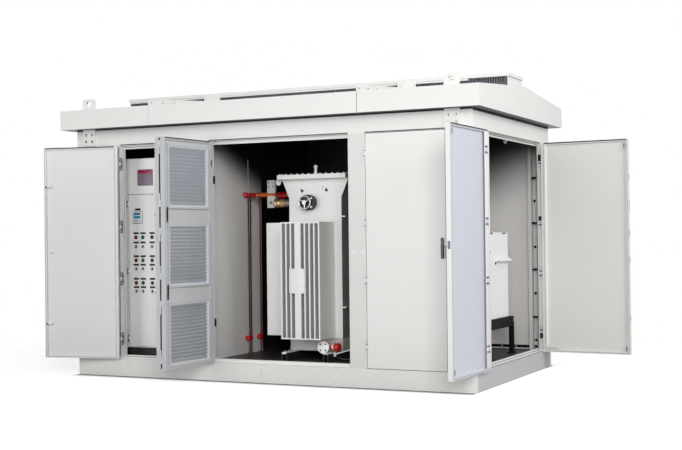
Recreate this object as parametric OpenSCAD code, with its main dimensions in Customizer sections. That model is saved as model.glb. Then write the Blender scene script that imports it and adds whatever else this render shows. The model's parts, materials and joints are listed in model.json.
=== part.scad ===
// Compact substation: a steel kiosk on a skid base with a low-voltage room, a transformer
// room and a high-voltage room, and a bolted three-part roof with a ridge ventilator.
// Millimetres, +Z up. The origin is under the middle of the skid, and +X runs along the
// front from the low-voltage end to the high-voltage end. Inside corner(), x, y and z are
// measured from the front left bottom corner of the body.

/* [Body] */
// Length of the body along the front
body_l = 4400; // [4000:10:5400]
// Width of the body, front to rear
body_w = 2390; // [2300:10:2900]
// Thickness of walls and posts
wall_t = 70; // [64:1:90]
// Height of the top of every doorway
door_top = 2380; // [2300:10:2700]
// Height of the band over the doorways
header_h = 180; // [120:5:260]
// Depth of the panel lines pressed in the plain walls
groove_d = 6; // [3:1:10]

/* [Base] */
// Height of the skid beams
base_h = 180; // [140:5:240]
// Thickness of the beams' webs
web_t = 8; // [6:1:14]
// Thickness of the beams' flanges
flange_t = 12; // [8:1:18]
// Thickness of the floor plate
floor_t = 6; // [4:1:10]
// Width of one cross beam
cross_w = 70; // [50:5:100]

/* [Roof] */
// Height of the fascia
fascia_h = 200; // [140:5:260]
// Overhang past the two ends
over_l = 113; // [60:1:150]
// Overhang past the front and the rear
over_w = 137; // [60:1:180]
// Thickness of the roof sheet
sheet_t = 4; // [3:0.5:6]
// Rise of the roof for each millimetre towards the ridge
roof_slope = 0.08; // [0.03:0.01:0.12]
// Place of the left seam, from the left end
seam_left = 1000; // [900:10:1400]
// Place of the right seam, from the left end
seam_right = 3320; // [2700:10:3500]
// Height of the bolted seam flanges
seam_h = 60; // [30:1:80]
// Width of the joint lines in the fascia
joint_w = 3; // [1:0.5:6]

/* [Ventilator] */
// Width of the ridge ventilator
vent_w = 440; // [300:10:600]
// How far the ventilator reaches past the body at each end
vent_past = 20; // [0:5:60]
// Height of the underside of its cap above the fascia's top
vent_slot_top = 193; // [170:1:260]
// Thickness of the cap
cap_t = 32; // [20:1:60]
// Width of the covers over its joints
cover_w = 195; // [100:5:260]

/* [Doorways] */
// Low-voltage doorway: place and width
lv_x = 550; // [480:5:600]
lv_w = 840; // [700:5:860]
// Transformer doorway: place and width
tx_x = 1625; // [1600:5:1700]
tx_w = 1535; // [1300:5:1560]
// High-voltage doorway: place and width
hv_x = 3335; // [3300:5:3400]
hv_w = 802; // [700:2:820]
// Distance from the corners to the end doorway
end_inset = 260; // [200:5:360]
// Width of the stop behind a closed leaf
stop_w = 35; // [25:1:50]
// Width of the door stops at the sides of a doorway
stop_side = 15; // [10:1:35]

/* [Door leaves] */
// Thickness of a leaf
leaf_t = 45; // [35:1:50]
// Running gap round a leaf
leaf_gap = 6; // [5:0.5:10]
// Low-voltage leaf as it stands, in degrees open
lv_open = 168; // [0:1:174]
// Front end leaf as it stands, in degrees open
end_front_open = 181.5; // [0:0.5:182]
// Rear end leaf as it stands, in degrees open
end_rear_open = 86; // [0:1:176]
// Folding leaves as they stand, in degrees open
tx_open = 94.5; // [90:0.5:100]
// Clearance between the folded leaves and the knuckles between them
fold_clear = 2; // [1:0.5:6]
// Width of a leaf's folded edge, and of the edge on its hinge side
leaf_border = 24; // [15:1:40]
hinge_border = 45; // [30:1:60]
// Depth of the pan on a leaf's inner face
pan_d = 20; // [5:1:25]
// Louvre slats in one window of a folding leaf
slats = 16; // [8:1:18]

/* [Hinges] */
// Radius of a knuckle
knuckle_r = 9; // [8:0.5:12]
// Radius of a hinge pin
pin_r = 5; // [4:0.5:6]
// Running clearance round a pin
pin_clear = 0.3; // [0.2:0.05:0.5]
// Height of the middle knuckle
knuckle_h = 44; // [24:1:50]
// Thickness of a hinge plate, in the running gap
plate_t = 2; // [1:0.5:2.5]

/* [Lifting lugs] */
// Middle of the left lugs
lug_left = 164; // [120:1:220]
// Middle of the right lugs, from the right end
lug_right = 191; // [120:1:220]
// Width and thickness of a lug
lug_w = 150; // [120:1:180]
lug_t = 16; // [12:1:20]
// Height of a lug above the fascia's top
lug_rise = 122; // [100:1:160]
// Radius of the lifting eye
eye_r = 28; // [20:1:34]

/* [Switchboard] */
// Width, depth and height of the low-voltage board
board_w = 900; // [800:10:950]
board_d = 600; // [400:10:800]
board_h = 1992; // [1900:2:2100]
// Left side of the board
board_x = 394; // [350:2:420]
// Front of the board
board_y = 300; // [250:5:400]
// Height of the plinth under it
plinth_h = 84; // [50:2:110]
// Width of the board's front stiles
stile = 30; // [24:1:40]
// Thickness of the board's door
board_door_t = 20; // [16:1:30]
// Height of the board's upper panel
upper_h = 368; // [300:2:450]

/* [Transformer] */
// Middle of the transformer along the body
tank_x = 2500; // [2450:5:2600]
// Width of the tank along the body
tank_w = 590; // [500:5:640]
// Front of the tank
tank_y = 600; // [560:5:650]
// Length of the tank, front to rear
tank_l = 1190; // [1000:10:1250]
// Height of the cover's underside above the floor
tank_top = 1814; // [1700:2:1950]
// Height of the rails under the tank
rail_h = 84; // [70:1:110]
// Width and thickness of the cover
cover_span = 770; // [700:5:800]
cover_t = 44; // [30:1:70]
// Depth of the front and rear fins
fin_d = 340; // [250:5:360]
// Depth of the side fins
side_fin_d = 300; // [200:5:310]
// Thickness and pitch of the fins
fin_t = 16; // [6:0.5:20]
fin_pitch = 52; // [45:1:60]
// Height of the fins
fin_h = 1155; // [900:5:1250]
// Height of the fins' feet above the floor
fin_foot = 222; // [200:2:260]

/* [Tap changer] */
// Radius of the handwheel
wheel_r = 72; // [60:1:82]
// Thickness of its rim
rim_r = 7; // [5:0.5:9]

/* [High-voltage set] */
// Front face of the cabinet, from the left end
cab_x = 4120; // [4050:5:4200]
// Depth of the cabinet along the body
cab_d = 650; // [500:5:700]
// Rear side of the cabinet
cab_y = 1820; // [1750:5:1900]
// Width and height of the cabinet
cab_w = 790; // [600:5:850]
cab_h = 870; // [800:5:950]
// Height of the stand
stand_h = 384; // [300:2:450]
// Section of the stand's legs
leg = 45; // [35:1:60]

/* [Hidden] */
$fn = 32;

wall_top = door_top + header_h;          // top of the walls, foot of the fascia
fascia_top = wall_top + fascia_h;
floor_z = base_h + floor_t;              // top of the floor plate
stop_y = leaf_t + leaf_gap;              // front of the stops behind the leaves
fold_gap = 2 * knuckle_r + fold_clear;   // between the folded leaves
end_w = body_w - 2 * end_inset;          // width of the end doorway
hinge_z = [for (z = [205, 825, 1360, 2010]) base_h + z];
fold_hinge_z = [for (z = [123, 588, 916, 1274, 1598, 2095]) base_h + z];

// A doorway is [x, y, direction in degrees, 1 where the leaf hangs on the right].
lv_place = [lv_x, 0, 0, 0];
tx_place = [tx_x, 0, 0, 0];
hv_place = [hv_x, 0, 0, 0];
end_front_place = [body_l, end_inset, 90, 0];
end_rear_place = [body_l, body_w - end_inset, 90, 1];
board_place = [board_x + stile, board_y, 0, 0];

vent_y0 = (body_w - vent_w) / 2;
vent_y1 = (body_w + vent_w) / 2;
slot_top = fascia_top + vent_slot_top;
cover_d = 14;                            // how far the joint covers stand proud
partition_t = 40;
partition_x = (lv_x + lv_w + tx_x) / 2 - partition_t / 2;

paint = [0.88, 0.89, 0.88];
shade = [0.78, 0.80, 0.82];
steel = [0.70, 0.71, 0.72];
black = [0.07, 0.07, 0.08];

// ---------- placing ----------

// Everything is drawn from the front left bottom corner of the body.
module corner() {
    translate([-body_l / 2, -body_w / 2, 0]) children();
}

// A box given by its lowest and highest corners.
module block(low, high) {
    translate(low) cube(high - low);
}

// A flat outline in Y and Z, drawn out along X from x0 to x1.
module along_x(x0, x1) {
    translate([x0, 0, 0]) rotate([90, 0, 90]) linear_extrude(x1 - x0) children();
}

// A flat outline in X and Z, drawn out along Y from y0 to y1.
module along_y(y0, y1) {
    translate([0, y1, 0]) rotate([90, 0, 0]) linear_extrude(y1 - y0) children();
}

// A round bar along Y.
module bar_y(x, y0, y1, z, r) {
    translate([x, y0, z]) rotate([-90, 0, 0]) cylinder(r = r, h = y1 - y0);
}

// A round bar along X.
module bar_x(x0, x1, y, z, r) {
    translate([x0, y, z]) rotate([0, 90, 0]) cylinder(r = r, h = x1 - x0);
}

// Sets a leaf at its doorway and swings it open about its hinge line. The leaf is drawn
// closed, with the hinge corner at the origin, its outer face at y = 0 and x away from
// the hinge.
module hung(place, open = 0, r = knuckle_r) {
    translate([place[0], place[1], 0]) rotate(place[2]) mirror([place[3], 0, 0])
        translate([0, -r, 0]) rotate(-open) translate([0, r, 0]) children();
}

// ---------- base ----------

// Channel outline of the skid beams, its web outwards and its flanges inwards.
module channel(width, height, web, flange) {
    difference() {
        square([width, height]);
        translate([web, flange]) square([width, height - 2 * flange]);
    }
}

module front_beam() {
    difference() {
        union() {
            along_x(0, body_l) channel(wall_t, base_h, web_t, flange_t);
            for (x = [0, body_l - web_t])
                block([x, 0, 0], [x + web_t, wall_t, base_h]);
        }
        // the butt joint half way along the skid
        translate([body_l / 2 - 1.5, -1, -1]) cube([3, 3, base_h + 2]);
    }
}

module base_side_beams() {
    color(paint) corner() {
        front_beam();
        translate([0, body_w, 0]) mirror([0, 1, 0]) front_beam();
    }
}

module base_end_beams() {
    color(shade) corner() {
        for (side = [0, 1])
            translate([side * body_l, 0, 0]) mirror([side, 0, 0])
                along_y(wall_t, body_w - wall_t) channel(wall_t, base_h, web_t, flange_t);
    }
}

// Cross beams between the side beams, one of them through the origin.
module base_cross_beams() {
    color(shade) corner()
        for (x = [body_l / 2, partition_x, hv_x, lv_x / 2 + wall_t])
            translate([x - cross_w / 2, 0, 0])
                along_y(wall_t, body_w - wall_t) channel(cross_w, base_h, web_t, flange_t);
}

module floor_plate() {
    color(black) corner()
        block([wall_t, wall_t, base_h], [body_l - wall_t, body_w - wall_t, floor_z]);
}

// ---------- walls ----------

// Outline of a post from x0 to x1 with door stops on one or both sides.
module post_outline(x0, x1, stop_left, stop_right) {
    square_from(x0, 0, x1, wall_t);
    square_from(x0 - stop_left, stop_y, x1 + stop_right, wall_t);
}

module square_from(x0, y0, x1, y1) {
    translate([x0, y0]) square([x1 - x0, y1 - y0]);
}

module upright(z0, z1) {
    translate([0, 0, z0]) linear_extrude(z1 - z0) children();
}

module front_left_panel() {
    color(paint) corner() upright(base_h, door_top) post_outline(0, lv_x, 0, stop_side);
}

module front_posts() {
    color(paint) corner() upright(base_h, door_top) {
        post_outline(lv_x + lv_w, tx_x, stop_side, stop_side);
        post_outline(tx_x + tx_w, hv_x, stop_side, stop_side);
    }
}

// The right corner wraps round from the front to the end doorway.
module corner_outline() {
    post_outline(hv_x + hv_w, body_l, stop_side, 0);
    square_from(body_l - wall_t, 0, body_l, end_inset);
    square_from(body_l - wall_t, 0, body_l - stop_y, end_inset + stop_side);
}

module front_corner_post() {
    color(paint) corner() upright(base_h, door_top) corner_outline();
}

// Its lining is set back from the jamb, which has no stop on this hinge side.
module rear_corner_post() {
    set_back = 75;
    color(shade) corner() upright(base_h, door_top)
        translate([0, body_w]) mirror([0, 1]) difference() {
            corner_outline();
            square_from(0, -1, hv_x + hv_w, body_w);
            square_from(body_l - wall_t - 1, end_inset - set_back, body_l - stop_y, end_inset + stop_w);
        }
}

module front_header() {
    color(paint) corner() {
        block([0, 0, door_top], [body_l, wall_t, wall_top]);
        for (d = [[lv_x, lv_w], [tx_x, tx_w], [hv_x, hv_w]])
            block([d[0] + stop_side, stop_y, door_top - stop_w],
                  [d[0] + d[1] - stop_side, wall_t, door_top]);
    }
}

module end_header() {
    color(shade) corner() {
        block([body_l - wall_t, wall_t, door_top], [body_l, body_w - wall_t, wall_top]);
        block([body_l - wall_t, end_inset + stop_side, door_top - stop_w],
              [body_l - stop_y, body_w - end_inset, door_top]);
    }
}

// Strips across the foot of each doorway, behind the leaves.
module door_sills() {
    color(paint) corner() {
        for (d = [[lv_x, lv_w], [tx_x, tx_w], [hv_x, hv_w]])
            block([d[0] + stop_side, stop_y, base_h], [d[0] + d[1] - stop_side, wall_t, base_h + stop_w]);
        block([body_l - wall_t, end_inset + stop_side, base_h],
              [body_l - stop_y, body_w - end_inset, base_h + stop_w]);
    }
}

// A pressed line round one panel of a plain wall, in X and Z.
module panel_line(x0, z0, x1, z1) {
    line_w = 8;
    difference() {
        square_from(x0, z0, x1, z1);
        square_from(x0 + line_w, z0 + line_w, x1 - line_w, z1 - line_w);
    }
}

module rear_wall() {
    color(shade) corner() difference() {
        block([0, body_w - wall_t, base_h], [body_l, body_w, wall_top]);
        // the corner post stands in this notch
        block([hv_x + hv_w, body_w - wall_t - 1, base_h - 1], [body_l + 1, body_w + 1, door_top]);
        along_y(body_w - groove_d, body_w + 1) {
            panel_line(lv_x, base_h + 20, lv_x + lv_w, door_top);
            panel_line(tx_x, base_h + 20, tx_x + tx_w / 2, door_top);
            panel_line(tx_x + tx_w / 2 + 12, base_h + 20, tx_x + tx_w, door_top);
        }
    }
}

module left_end_wall() {
    color(shade) corner() difference() {
        block([0, wall_t, base_h], [wall_t, body_w - wall_t, wall_top]);
        along_x(-1, groove_d) {
            panel_line(end_inset, base_h + 20, body_w / 2 - 6, door_top);
            panel_line(body_w / 2 + 6, base_h + 20, body_w - end_inset, door_top);
        }
    }
}

module lv_partition() {
    color(shade) corner()
        block([partition_x, wall_t, floor_z], [partition_x + partition_t, body_w - wall_t, wall_top]);
}

// Ladder channel that stiffens the rear corner, open towards the end doorway.
module corner_stiffener() {
    w = 110;
    d = 75;
    flange = 38;
    x0 = body_l - wall_t - w - 9;
    y0 = body_w - wall_t - d;
    color(shade) corner() {
        upright(floor_z, wall_top) difference() {
            square_from(x0, y0, x0 + w, y0 + d);
            square_from(x0 + flange, y0 - 1, x0 + w - 5, y0 + d - 5);
        }
        for (z = [346, 851, 1346, 1827])
            block([x0 + flange, y0 + 15, floor_z + z], [x0 + w - 5, y0 + d - 5, floor_z + z + 12]);
    }
}

// ---------- roof ----------

// Height of the roof's top at a distance y from the front wall.
function roof_z(y) = fascia_top + roof_slope * (min(y, body_w - y) + over_w);

ridge = roof_z(body_w / 2);

module roof_solid_outline() {
    polygon([[-over_w, wall_top], [-over_w, fascia_top], [body_w / 2, ridge],
             [body_w + over_w, fascia_top], [body_w + over_w, wall_top]]);
}

// The folded tray: deck, two fascias and the lips that rest on the walls.
module roof_tray_outline() {
    difference() {
        roof_solid_outline();
        polygon([[wall_t, wall_top - 1], [wall_t, wall_top + sheet_t],
                 [sheet_t - over_w, wall_top + sheet_t], [sheet_t - over_w, fascia_top - sheet_t],
                 [body_w / 2, ridge - sheet_t],
                 [body_w + over_w - sheet_t, fascia_top - sheet_t],
                 [body_w + over_w - sheet_t, wall_top + sheet_t],
                 [body_w - wall_t, wall_top + sheet_t], [body_w - wall_t, wall_top - 1]]);
    }
}

// One seam flange each side of the ventilator, along the slope of the roof.
module seam_flange(x0) {
    y1 = vent_y0 - cover_d;
    along_x(x0, x0 + sheet_t) for (side = [0, 1])
        translate([side * body_w, 0]) mirror([side, 0])
            polygon([[-over_w, fascia_top - sheet_t], [-over_w, fascia_top + seam_h],
                     [y1, roof_z(y1) + seam_h], [y1, roof_z(y1) - sheet_t]]);
}

// Joint lines between two roof sections, pressed in the front and rear fascia at x.
module fascia_joint(x) {
    depth = sheet_t / 2;
    for (y = [-over_w - 1, body_w + over_w - depth])
        block([x - joint_w / 2, y, wall_top - 1], [x + joint_w / 2, y + depth + 1, fascia_top + 1]);
}

module roof_end(x0, lip0, lip1) {
    along_x(x0, x0 + sheet_t) roof_solid_outline();
    block([lip0, -over_w, wall_top], [lip1, body_w + over_w, wall_top + sheet_t]);
}

module lug_slots() {
    for (x = [lug_left, body_l - lug_right])
        for (y = [-lug_t - 5, body_w - 5])
            block([x - lug_w / 2 - 5, y, wall_top - 1], [x + lug_w / 2 + 5, y + lug_t + 10, ridge]);
}

module vent_hole(x0, x1) {
    block([x0, vent_y0 + 40, fascia_top], [x1, vent_y1 - 40, ridge + 1]);
}

module roof_left() {
    color(paint) corner() difference() {
        union() {
            along_x(-over_l, seam_left) roof_tray_outline();
            roof_end(-over_l, -over_l, wall_t);
            seam_flange(seam_left - sheet_t);
        }
        lug_slots();
        fascia_joint(seam_left);
        vent_hole(100, seam_left - 100);
    }
}

module roof_middle() {
    mid = (seam_left + seam_right) / 2;
    color(paint) corner() difference() {
        union() {
            along_x(seam_left, seam_right) roof_tray_outline();
            seam_flange(seam_left);
            seam_flange(seam_right - sheet_t);
        }
        fascia_joint(seam_left);
        fascia_joint(seam_right);
        vent_hole(seam_left + 100, mid - 50);
        vent_hole(mid + 50, seam_right - 100);
    }
}

module roof_right() {
    color(paint) corner() difference() {
        union() {
            along_x(seam_right, body_l + over_l) roof_tray_outline();
            roof_end(body_l + over_l - sheet_t, body_l - wall_t, body_l + over_l);
            seam_flange(seam_right);
        }
        lug_slots();
        fascia_joint(seam_right);
        vent_hole(seam_right + 100, body_l - 100);
    }
}

vent_x0 = -vent_past;
vent_x1 = body_l + vent_past;

// Slotted side plates of the ridge ventilator.
module vent_grilles() {
    grille_t = 6;
    windows = 12;
    pitch = (vent_x1 - vent_x0 - 40) / windows;
    window_h = 46;
    color(black) corner() for (side = [0, 1])
        translate([0, side * body_w, 0]) mirror([0, side, 0]) difference() {
            along_x(vent_x0 + grille_t, vent_x1 - grille_t)
                polygon([[vent_y0, roof_z(vent_y0)], [vent_y0 + grille_t, roof_z(vent_y0 + grille_t)],
                         [vent_y0 + grille_t, slot_top], [vent_y0, slot_top]]);
            for (i = [0:windows - 1])
                translate([vent_x0 + 30 + i * pitch, vent_y0 - 1, slot_top - 8 - window_h])
                    cube([pitch - 20, grille_t + 2, window_h]);
        }
}

// Flat cap with its end plates, and the covers over its two joints.
module vent_cap() {
    eave = 10;
    plate_t = 6;
    stud_r = 7;
    stud_h = 14;
    color(paint) corner() {
        block([vent_x0 - eave, vent_y0 - eave, slot_top], [vent_x1 + eave, vent_y1 + eave, slot_top + cap_t]);
        for (x = [vent_x0, vent_x1 - plate_t])
            along_x(x, x + plate_t)
                polygon([[vent_y0, roof_z(vent_y0)], [body_w / 2, ridge], [vent_y1, roof_z(vent_y1)],
                         [vent_y1, slot_top + 1], [vent_y0, slot_top + 1]]);
        for (x = [seam_left - 30, seam_right - 57], side = [0, 1])
            translate([x, side * body_w, 0]) mirror([0, side, 0])
                along_x(0, cover_w)
                    polygon([[vent_y0 - cover_d, roof_z(vent_y0 - cover_d)], [vent_y0, roof_z(vent_y0)],
                             [vent_y0, slot_top + 1], [vent_y0 - cover_d, slot_top + 1]]);
        for (x = [vent_x1 - 30], y = [vent_y0 + 60, vent_y1 - 60])
            translate([x, y, slot_top + cap_t - 1]) cylinder(r = stud_r, h = stud_h + 1);
    }
}

// Lifting plates bolted to the headers, up through the roof, each with a round eye.
module lug() {
    corner_cut = 18;
    foot = door_top + 10;
    top = fascia_top + lug_rise;
    difference() {
        along_y(0, lug_t) polygon([[-lug_w / 2, foot], [lug_w / 2, foot], [lug_w / 2, top - corner_cut],
            [lug_w / 2 - corner_cut, top], [-lug_w / 2 + corner_cut, top], [-lug_w / 2, top - corner_cut]]);
        bar_y(0, -1, lug_t + 1, fascia_top + lug_rise - 52, eye_r);
    }
}

module lifting_lugs() {
    color(paint) corner() for (x = [lug_left, body_l - lug_right], y = [-lug_t, body_w])
        translate([x, y, 0]) lug();
}

// ---------- door leaves ----------

// Outer knuckles, pin and plate of a butt hinge at height z. The plate lies on the jamb,
// reaches a depth d into the running gap and carries both knuckles.
module fixed_hinge(z, r = knuckle_r, h = knuckle_h, d = 38) {
    play = 1;
    swept = r + leaf_gap;                    // what the leaf's web sweeps behind the pin
    translate([0, 0, z]) {
        translate([0, -r, -h * 1.5]) cylinder(r = pin_r * r / knuckle_r, h = 3 * h);
        for (side = [0, 1]) mirror([0, 0, side]) {
            translate([0, -r, h / 2 + play]) cylinder(r = r, h = h - play);
            translate([0, -r, h / 2 + play]) cube([plate_t, r + d, h - play]);
        }
        translate([0, swept - r, -h * 1.5]) cube([plate_t, d - swept + r, 3 * h]);
    }
}

// Middle knuckle of a hinge with its web, and the plate on the leaf's edge.
module leaf_knuckle(z, r = knuckle_r, h = knuckle_h, gap = leaf_gap, d = 38) {
    translate([0, -r, z - h / 2]) {
        cylinder(r = r - pin_clear, h = h);  // clear of the wall that it turns against
        translate([pin_clear, 0, 0]) cube([gap + 1 - pin_clear, r + 2, h]);
    }
    translate([gap - plate_t, 0, z - h * 1.5]) cube([plate_t, d, 3 * h]);
}

module pin_bore(z, r = knuckle_r, h = knuckle_h) {
    translate([0, -r, z - h / 2 - 1]) cylinder(r = pin_r * r / knuckle_r + pin_clear, h = h + 2);
}

// A leaf for a doorway of width w: a tray whose folded edges stand round its inner face.
module leaf_slab(w, z0, z1) {
    difference() {
        block([leaf_gap, 0, z0], [w - leaf_gap, leaf_t, z1]);
        block([leaf_gap + hinge_border, leaf_t - pan_d, z0 + leaf_border],
              [w - leaf_gap - leaf_border, leaf_t + 1, z1 - leaf_border]);
    }
}

module hinged_leaf(w) {
    difference() {
        union() {
            leaf_slab(w, base_h + leaf_gap, door_top - leaf_gap);
            for (z = hinge_z) leaf_knuckle(z);
        }
        for (z = hinge_z) pin_bore(z);
    }
}

module lv_door() {
    color(paint) corner() hung(lv_place, lv_open) hinged_leaf(lv_w);
}

module hv_front_door() {
    color(paint) corner() hung(hv_place) hinged_leaf(hv_w);
}

// The two end leaves meet in the middle with one running gap between them.
module end_front_door() {
    color(shade) corner() hung(end_front_place, end_front_open) hinged_leaf((end_w + leaf_gap) / 2);
}

module end_rear_door() {
    color(shade) corner() hung(end_rear_place, end_rear_open) hinged_leaf((end_w + leaf_gap) / 2);
}

module door_hinges() {
    color(steel) corner() {
        for (place = [lv_place, hv_place, end_front_place, end_rear_place], z = hinge_z)
            hung(place) fixed_hinge(z);
        for (z = board_hinge_z)
            hung(board_place) fixed_hinge(z, board_knuckle_r, board_knuckle_h, board_door_t);
    }
}

// Swing lever and rosette of a rod lock, near the free edge of a leaf of width w.
module rod_lock(w) {
    x = w - leaf_gap - 32;
    lock_z = base_h + 1120;
    translate([x, 0, lock_z]) {
        block([-16, -5, -95], [16, 0.5, 95]);
        block([-11, -20, -80], [11, -4, 30]);
        translate([0, -4, 62]) rotate([90, 0, 0]) cylinder(r = 11, h = 8);
    }
}

module hv_door_lock() {
    color(black) corner() hung(hv_place) difference() {
        rod_lock(hv_w);
        block([0, 0, 0], [hv_w, leaf_t, door_top]);
    }
}

module end_front_lock() {
    color(steel) corner() hung(end_front_place, end_front_open) difference() {
        rod_lock((end_w + leaf_gap) / 2);
        block([0, 0, 0], [end_w, leaf_t, door_top]);
    }
}

// ---------- folding leaves of the transformer doorway ----------

half_w = tx_w / 2;
louvre_x0 = leaf_gap + hinge_border + 30;
louvre_x1 = half_w - 85;
louvre_z0 = base_h + 45;
louvre_h = 572;
louvre_band = 176;
louvre_rim = 10;

module each_louvre() {
    for (i = [0:2]) translate([louvre_x0, 0, louvre_z0 + i * (louvre_h + louvre_band)]) children();
}

// Each window has a raised frame, and the pan between the frames shows as sunk panels.
module folding_leaf() {
    frame_w = 22;
    w = louvre_x1 - louvre_x0;
    difference() {
        union() {
            leaf_slab(half_w + leaf_gap / 2, base_h + leaf_gap, door_top - leaf_gap);
            each_louvre()
                block([-frame_w, leaf_t - pan_d - 1, -frame_w], [w + frame_w, leaf_t, louvre_h + frame_w]);
        }
        each_louvre() block([0, -1, 0], [w, leaf_t + 1, louvre_h]);
    }
}

// The first leaf stands out from the jamb and the second lies folded on its outer face.
module both_leaves() {
    hung(tx_place, tx_open) {
        children();
        translate([0, -fold_gap, 0]) mirror([0, 1, 0]) children();
    }
}

module tx_folding_leaves() {
    color(paint) corner() both_leaves() folding_leaf();
}

// Rain louvres: tilted slats in a thin rim, one set in each window.
module louvre_set() {
    w = louvre_x1 - louvre_x0;
    pitch = (louvre_h - 2 * louvre_rim) / slats;
    slat_t = 3;
    tilt = 52;
    depth = min((pitch - 2 * slat_t) / sin(tilt), (leaf_t - 20) / cos(tilt));
    difference() {
        block([0, 8, 0], [w, leaf_t - 8, louvre_h]);
        block([louvre_rim, 7, louvre_rim], [w - louvre_rim, leaf_t, louvre_h - louvre_rim]);
    }
    for (i = [0:slats - 1])
        translate([louvre_rim - 1, leaf_t / 2, louvre_rim + (i + 0.5) * pitch]) rotate([tilt, 0, 0])
            translate([0, -depth / 2, -slat_t / 2]) cube([w - 2 * louvre_rim + 2, depth, slat_t]);
}

module tx_louvres() {
    color(shade) corner() both_leaves() each_louvre() louvre_set();
}

// Hinges on the jamb, and pairs of plates down the fold with their knuckles end to end.
module tx_fold_hinges() {
    plate_h = 60;
    strap_t = 5;
    inset = 4;
    edge = half_w - leaf_gap / 2;
    color(steel) corner() {
        hung(tx_place, tx_open) for (i = [0:len(fold_hinge_z) - 1], outer = [0, 1]) {
            y0 = outer == 1 ? -fold_gap - leaf_t + inset : -fold_gap / 2;
            y1 = y0 + leaf_t + fold_gap / 2 - inset;
            up = (i + outer + 1) % 2;
            translate([0, 0, fold_hinge_z[i]]) mirror([0, 0, up]) {
                block([edge, y0, 4], [edge + strap_t, y1, 4 + plate_h]);
                translate([edge + strap_t, -fold_gap / 2, 0]) cylinder(r = 6, h = 4 + plate_h);
            }
        }
        for (z = hinge_z) hung(tx_place) {
            fixed_hinge(z);
            difference() {
                rotate_about_pin(-tx_open) leaf_knuckle(z);
                pin_bore(z);
                rotate_about_pin(-tx_open)
                    block([leaf_gap, 0, z - knuckle_h], [2 * leaf_gap, leaf_t, z + knuckle_h]);
            }
        }
    }
}

module rotate_about_pin(angle) {
    translate([0, -knuckle_r, 0]) rotate(angle) translate([0, knuckle_r, 0]) children();
}

// ---------- low-voltage switchboard ----------

board_z = floor_z + plinth_h;
board_top = board_z + board_h;
board_door_top = board_top - upper_h - 8;
board_door_w = board_w - 2 * stile;
board_knuckle_r = 7;
board_knuckle_h = 22;
board_hinge_z = [for (z = [99, 808, 1512]) board_z + z];
board_gap = 5;

module board_carcass() {
    skin = 4;
    color(paint) corner() difference() {
        block([board_x, board_y, board_z], [board_x + board_w, board_y + board_d, board_top]);
        block([board_x + skin, board_y + board_door_t + 8, board_z + skin],
              [board_x + board_w - skin, board_y + board_d - skin, board_top - skin]);
        // the door's opening
        block([board_x + stile, board_y - 1, board_z + 6],
              [board_x + board_w - stile, board_y + board_door_t + 9, board_door_top]);
    }
}

module board_plinth() {
    inset = 20;
    color(black) corner()
        block([board_x + inset, board_y + inset, floor_z],
              [board_x + board_w - inset, board_y + board_d - inset, board_z]);
}

module board_panel() {
    margin = 12;
    color(paint) corner()
        block([board_x + margin, board_y - 3, board_door_top + margin],
              [board_x + board_w - margin, board_y, board_top - margin]);
}

module board_door() {
    color(paint) corner() hung(board_place, 0, board_knuckle_r) difference() {
        union() {
            block([board_gap, 0, board_z + 6 + board_gap],
                  [board_door_w - board_gap, board_door_t, board_door_top - board_gap]);
            for (z = board_hinge_z)
                leaf_knuckle(z, board_knuckle_r, board_knuckle_h, board_gap, board_door_t);
        }
        for (z = board_hinge_z) pin_bore(z, board_knuckle_r, board_knuckle_h);
    }
}

// Round lamps and buttons in three columns and six rows. A device is a bezel and a dome.
device_x = [128, 215, 332];
device_z = [for (z = [831, 929, 1074, 1164, 1312, 1400]) board_top - z];

module device(x, z) {
    translate([board_x + x, board_y, z]) rotate([90, 0, 0]) {
        cylinder(r = 15, h = 4);
        cylinder(r = 11, h = 13);
    }
}

module board_red_devices() {
    color("firebrick") corner() for (x = [device_x[0], device_x[2]], z = device_z) device(x, z);
}

module board_green_devices() {
    color("seagreen") corner() for (z = device_z) device(device_x[1], z);
}

// ---------- transformer ----------

tank_z = floor_z + rail_h;
cover_z = floor_z + tank_top;
tank_x0 = tank_x - tank_w / 2;
tank_x1 = tank_x + tank_w / 2;
tank_y1 = tank_y + tank_l;
fin_z = floor_z + fin_foot;

module tx_tank() {
    gusset_t = 12;
    gusset_h = 190;
    rib = 40;
    rib_t = 12;
    color(paint) corner() {
        block([tank_x0, tank_y, tank_z], [tank_x1, tank_y1, cover_z]);
        // tapered gussets that carry the cover's rim
        for (y = [tank_y, tank_y1 - gusset_t])
            along_y(y, y + gusset_t)
                polygon([[tank_x0, cover_z - gusset_h], [tank_x1, cover_z - gusset_h],
                         [tank_x + cover_span / 2 - 10, cover_z], [tank_x - cover_span / 2 + 10, cover_z]]);
        // stiffening ribs along the plain side
        for (z = [0.25, 0.775])
            block([tank_x1 - 1, tank_y, tank_z + z * (cover_z - tank_z)],
                  [tank_x1 + rib, tank_y1, tank_z + z * (cover_z - tank_z) + rib_t]);
    }
}

module tx_cover() {
    rim = 90;
    stub_r = 14;
    stub_h = 85;
    color(paint) corner() {
        block([tank_x - cover_span / 2, tank_y - rim, cover_z],
              [tank_x + cover_span / 2, tank_y1 + rim, cover_z + cover_t]);
        translate([tank_x + 12, tank_y, cover_z + cover_t - 1]) cylinder(r = stub_r, h = stub_h + 1);
    }
}

// A bank of upright fins tied by a strip along the head and the foot of their edges.
module fin_bank(count, depth) {
    tie_h = 14;
    tie_t = 6;
    span = (count - 1) * fin_pitch + fin_t;
    for (i = [0:count - 1])
        block([i * fin_pitch, 0, 0], [i * fin_pitch + fin_t, depth, fin_h]);
    for (z = [0, fin_h - tie_h])
        block([0, 0, z], [span, tie_t, z + tie_h]);
}

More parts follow.
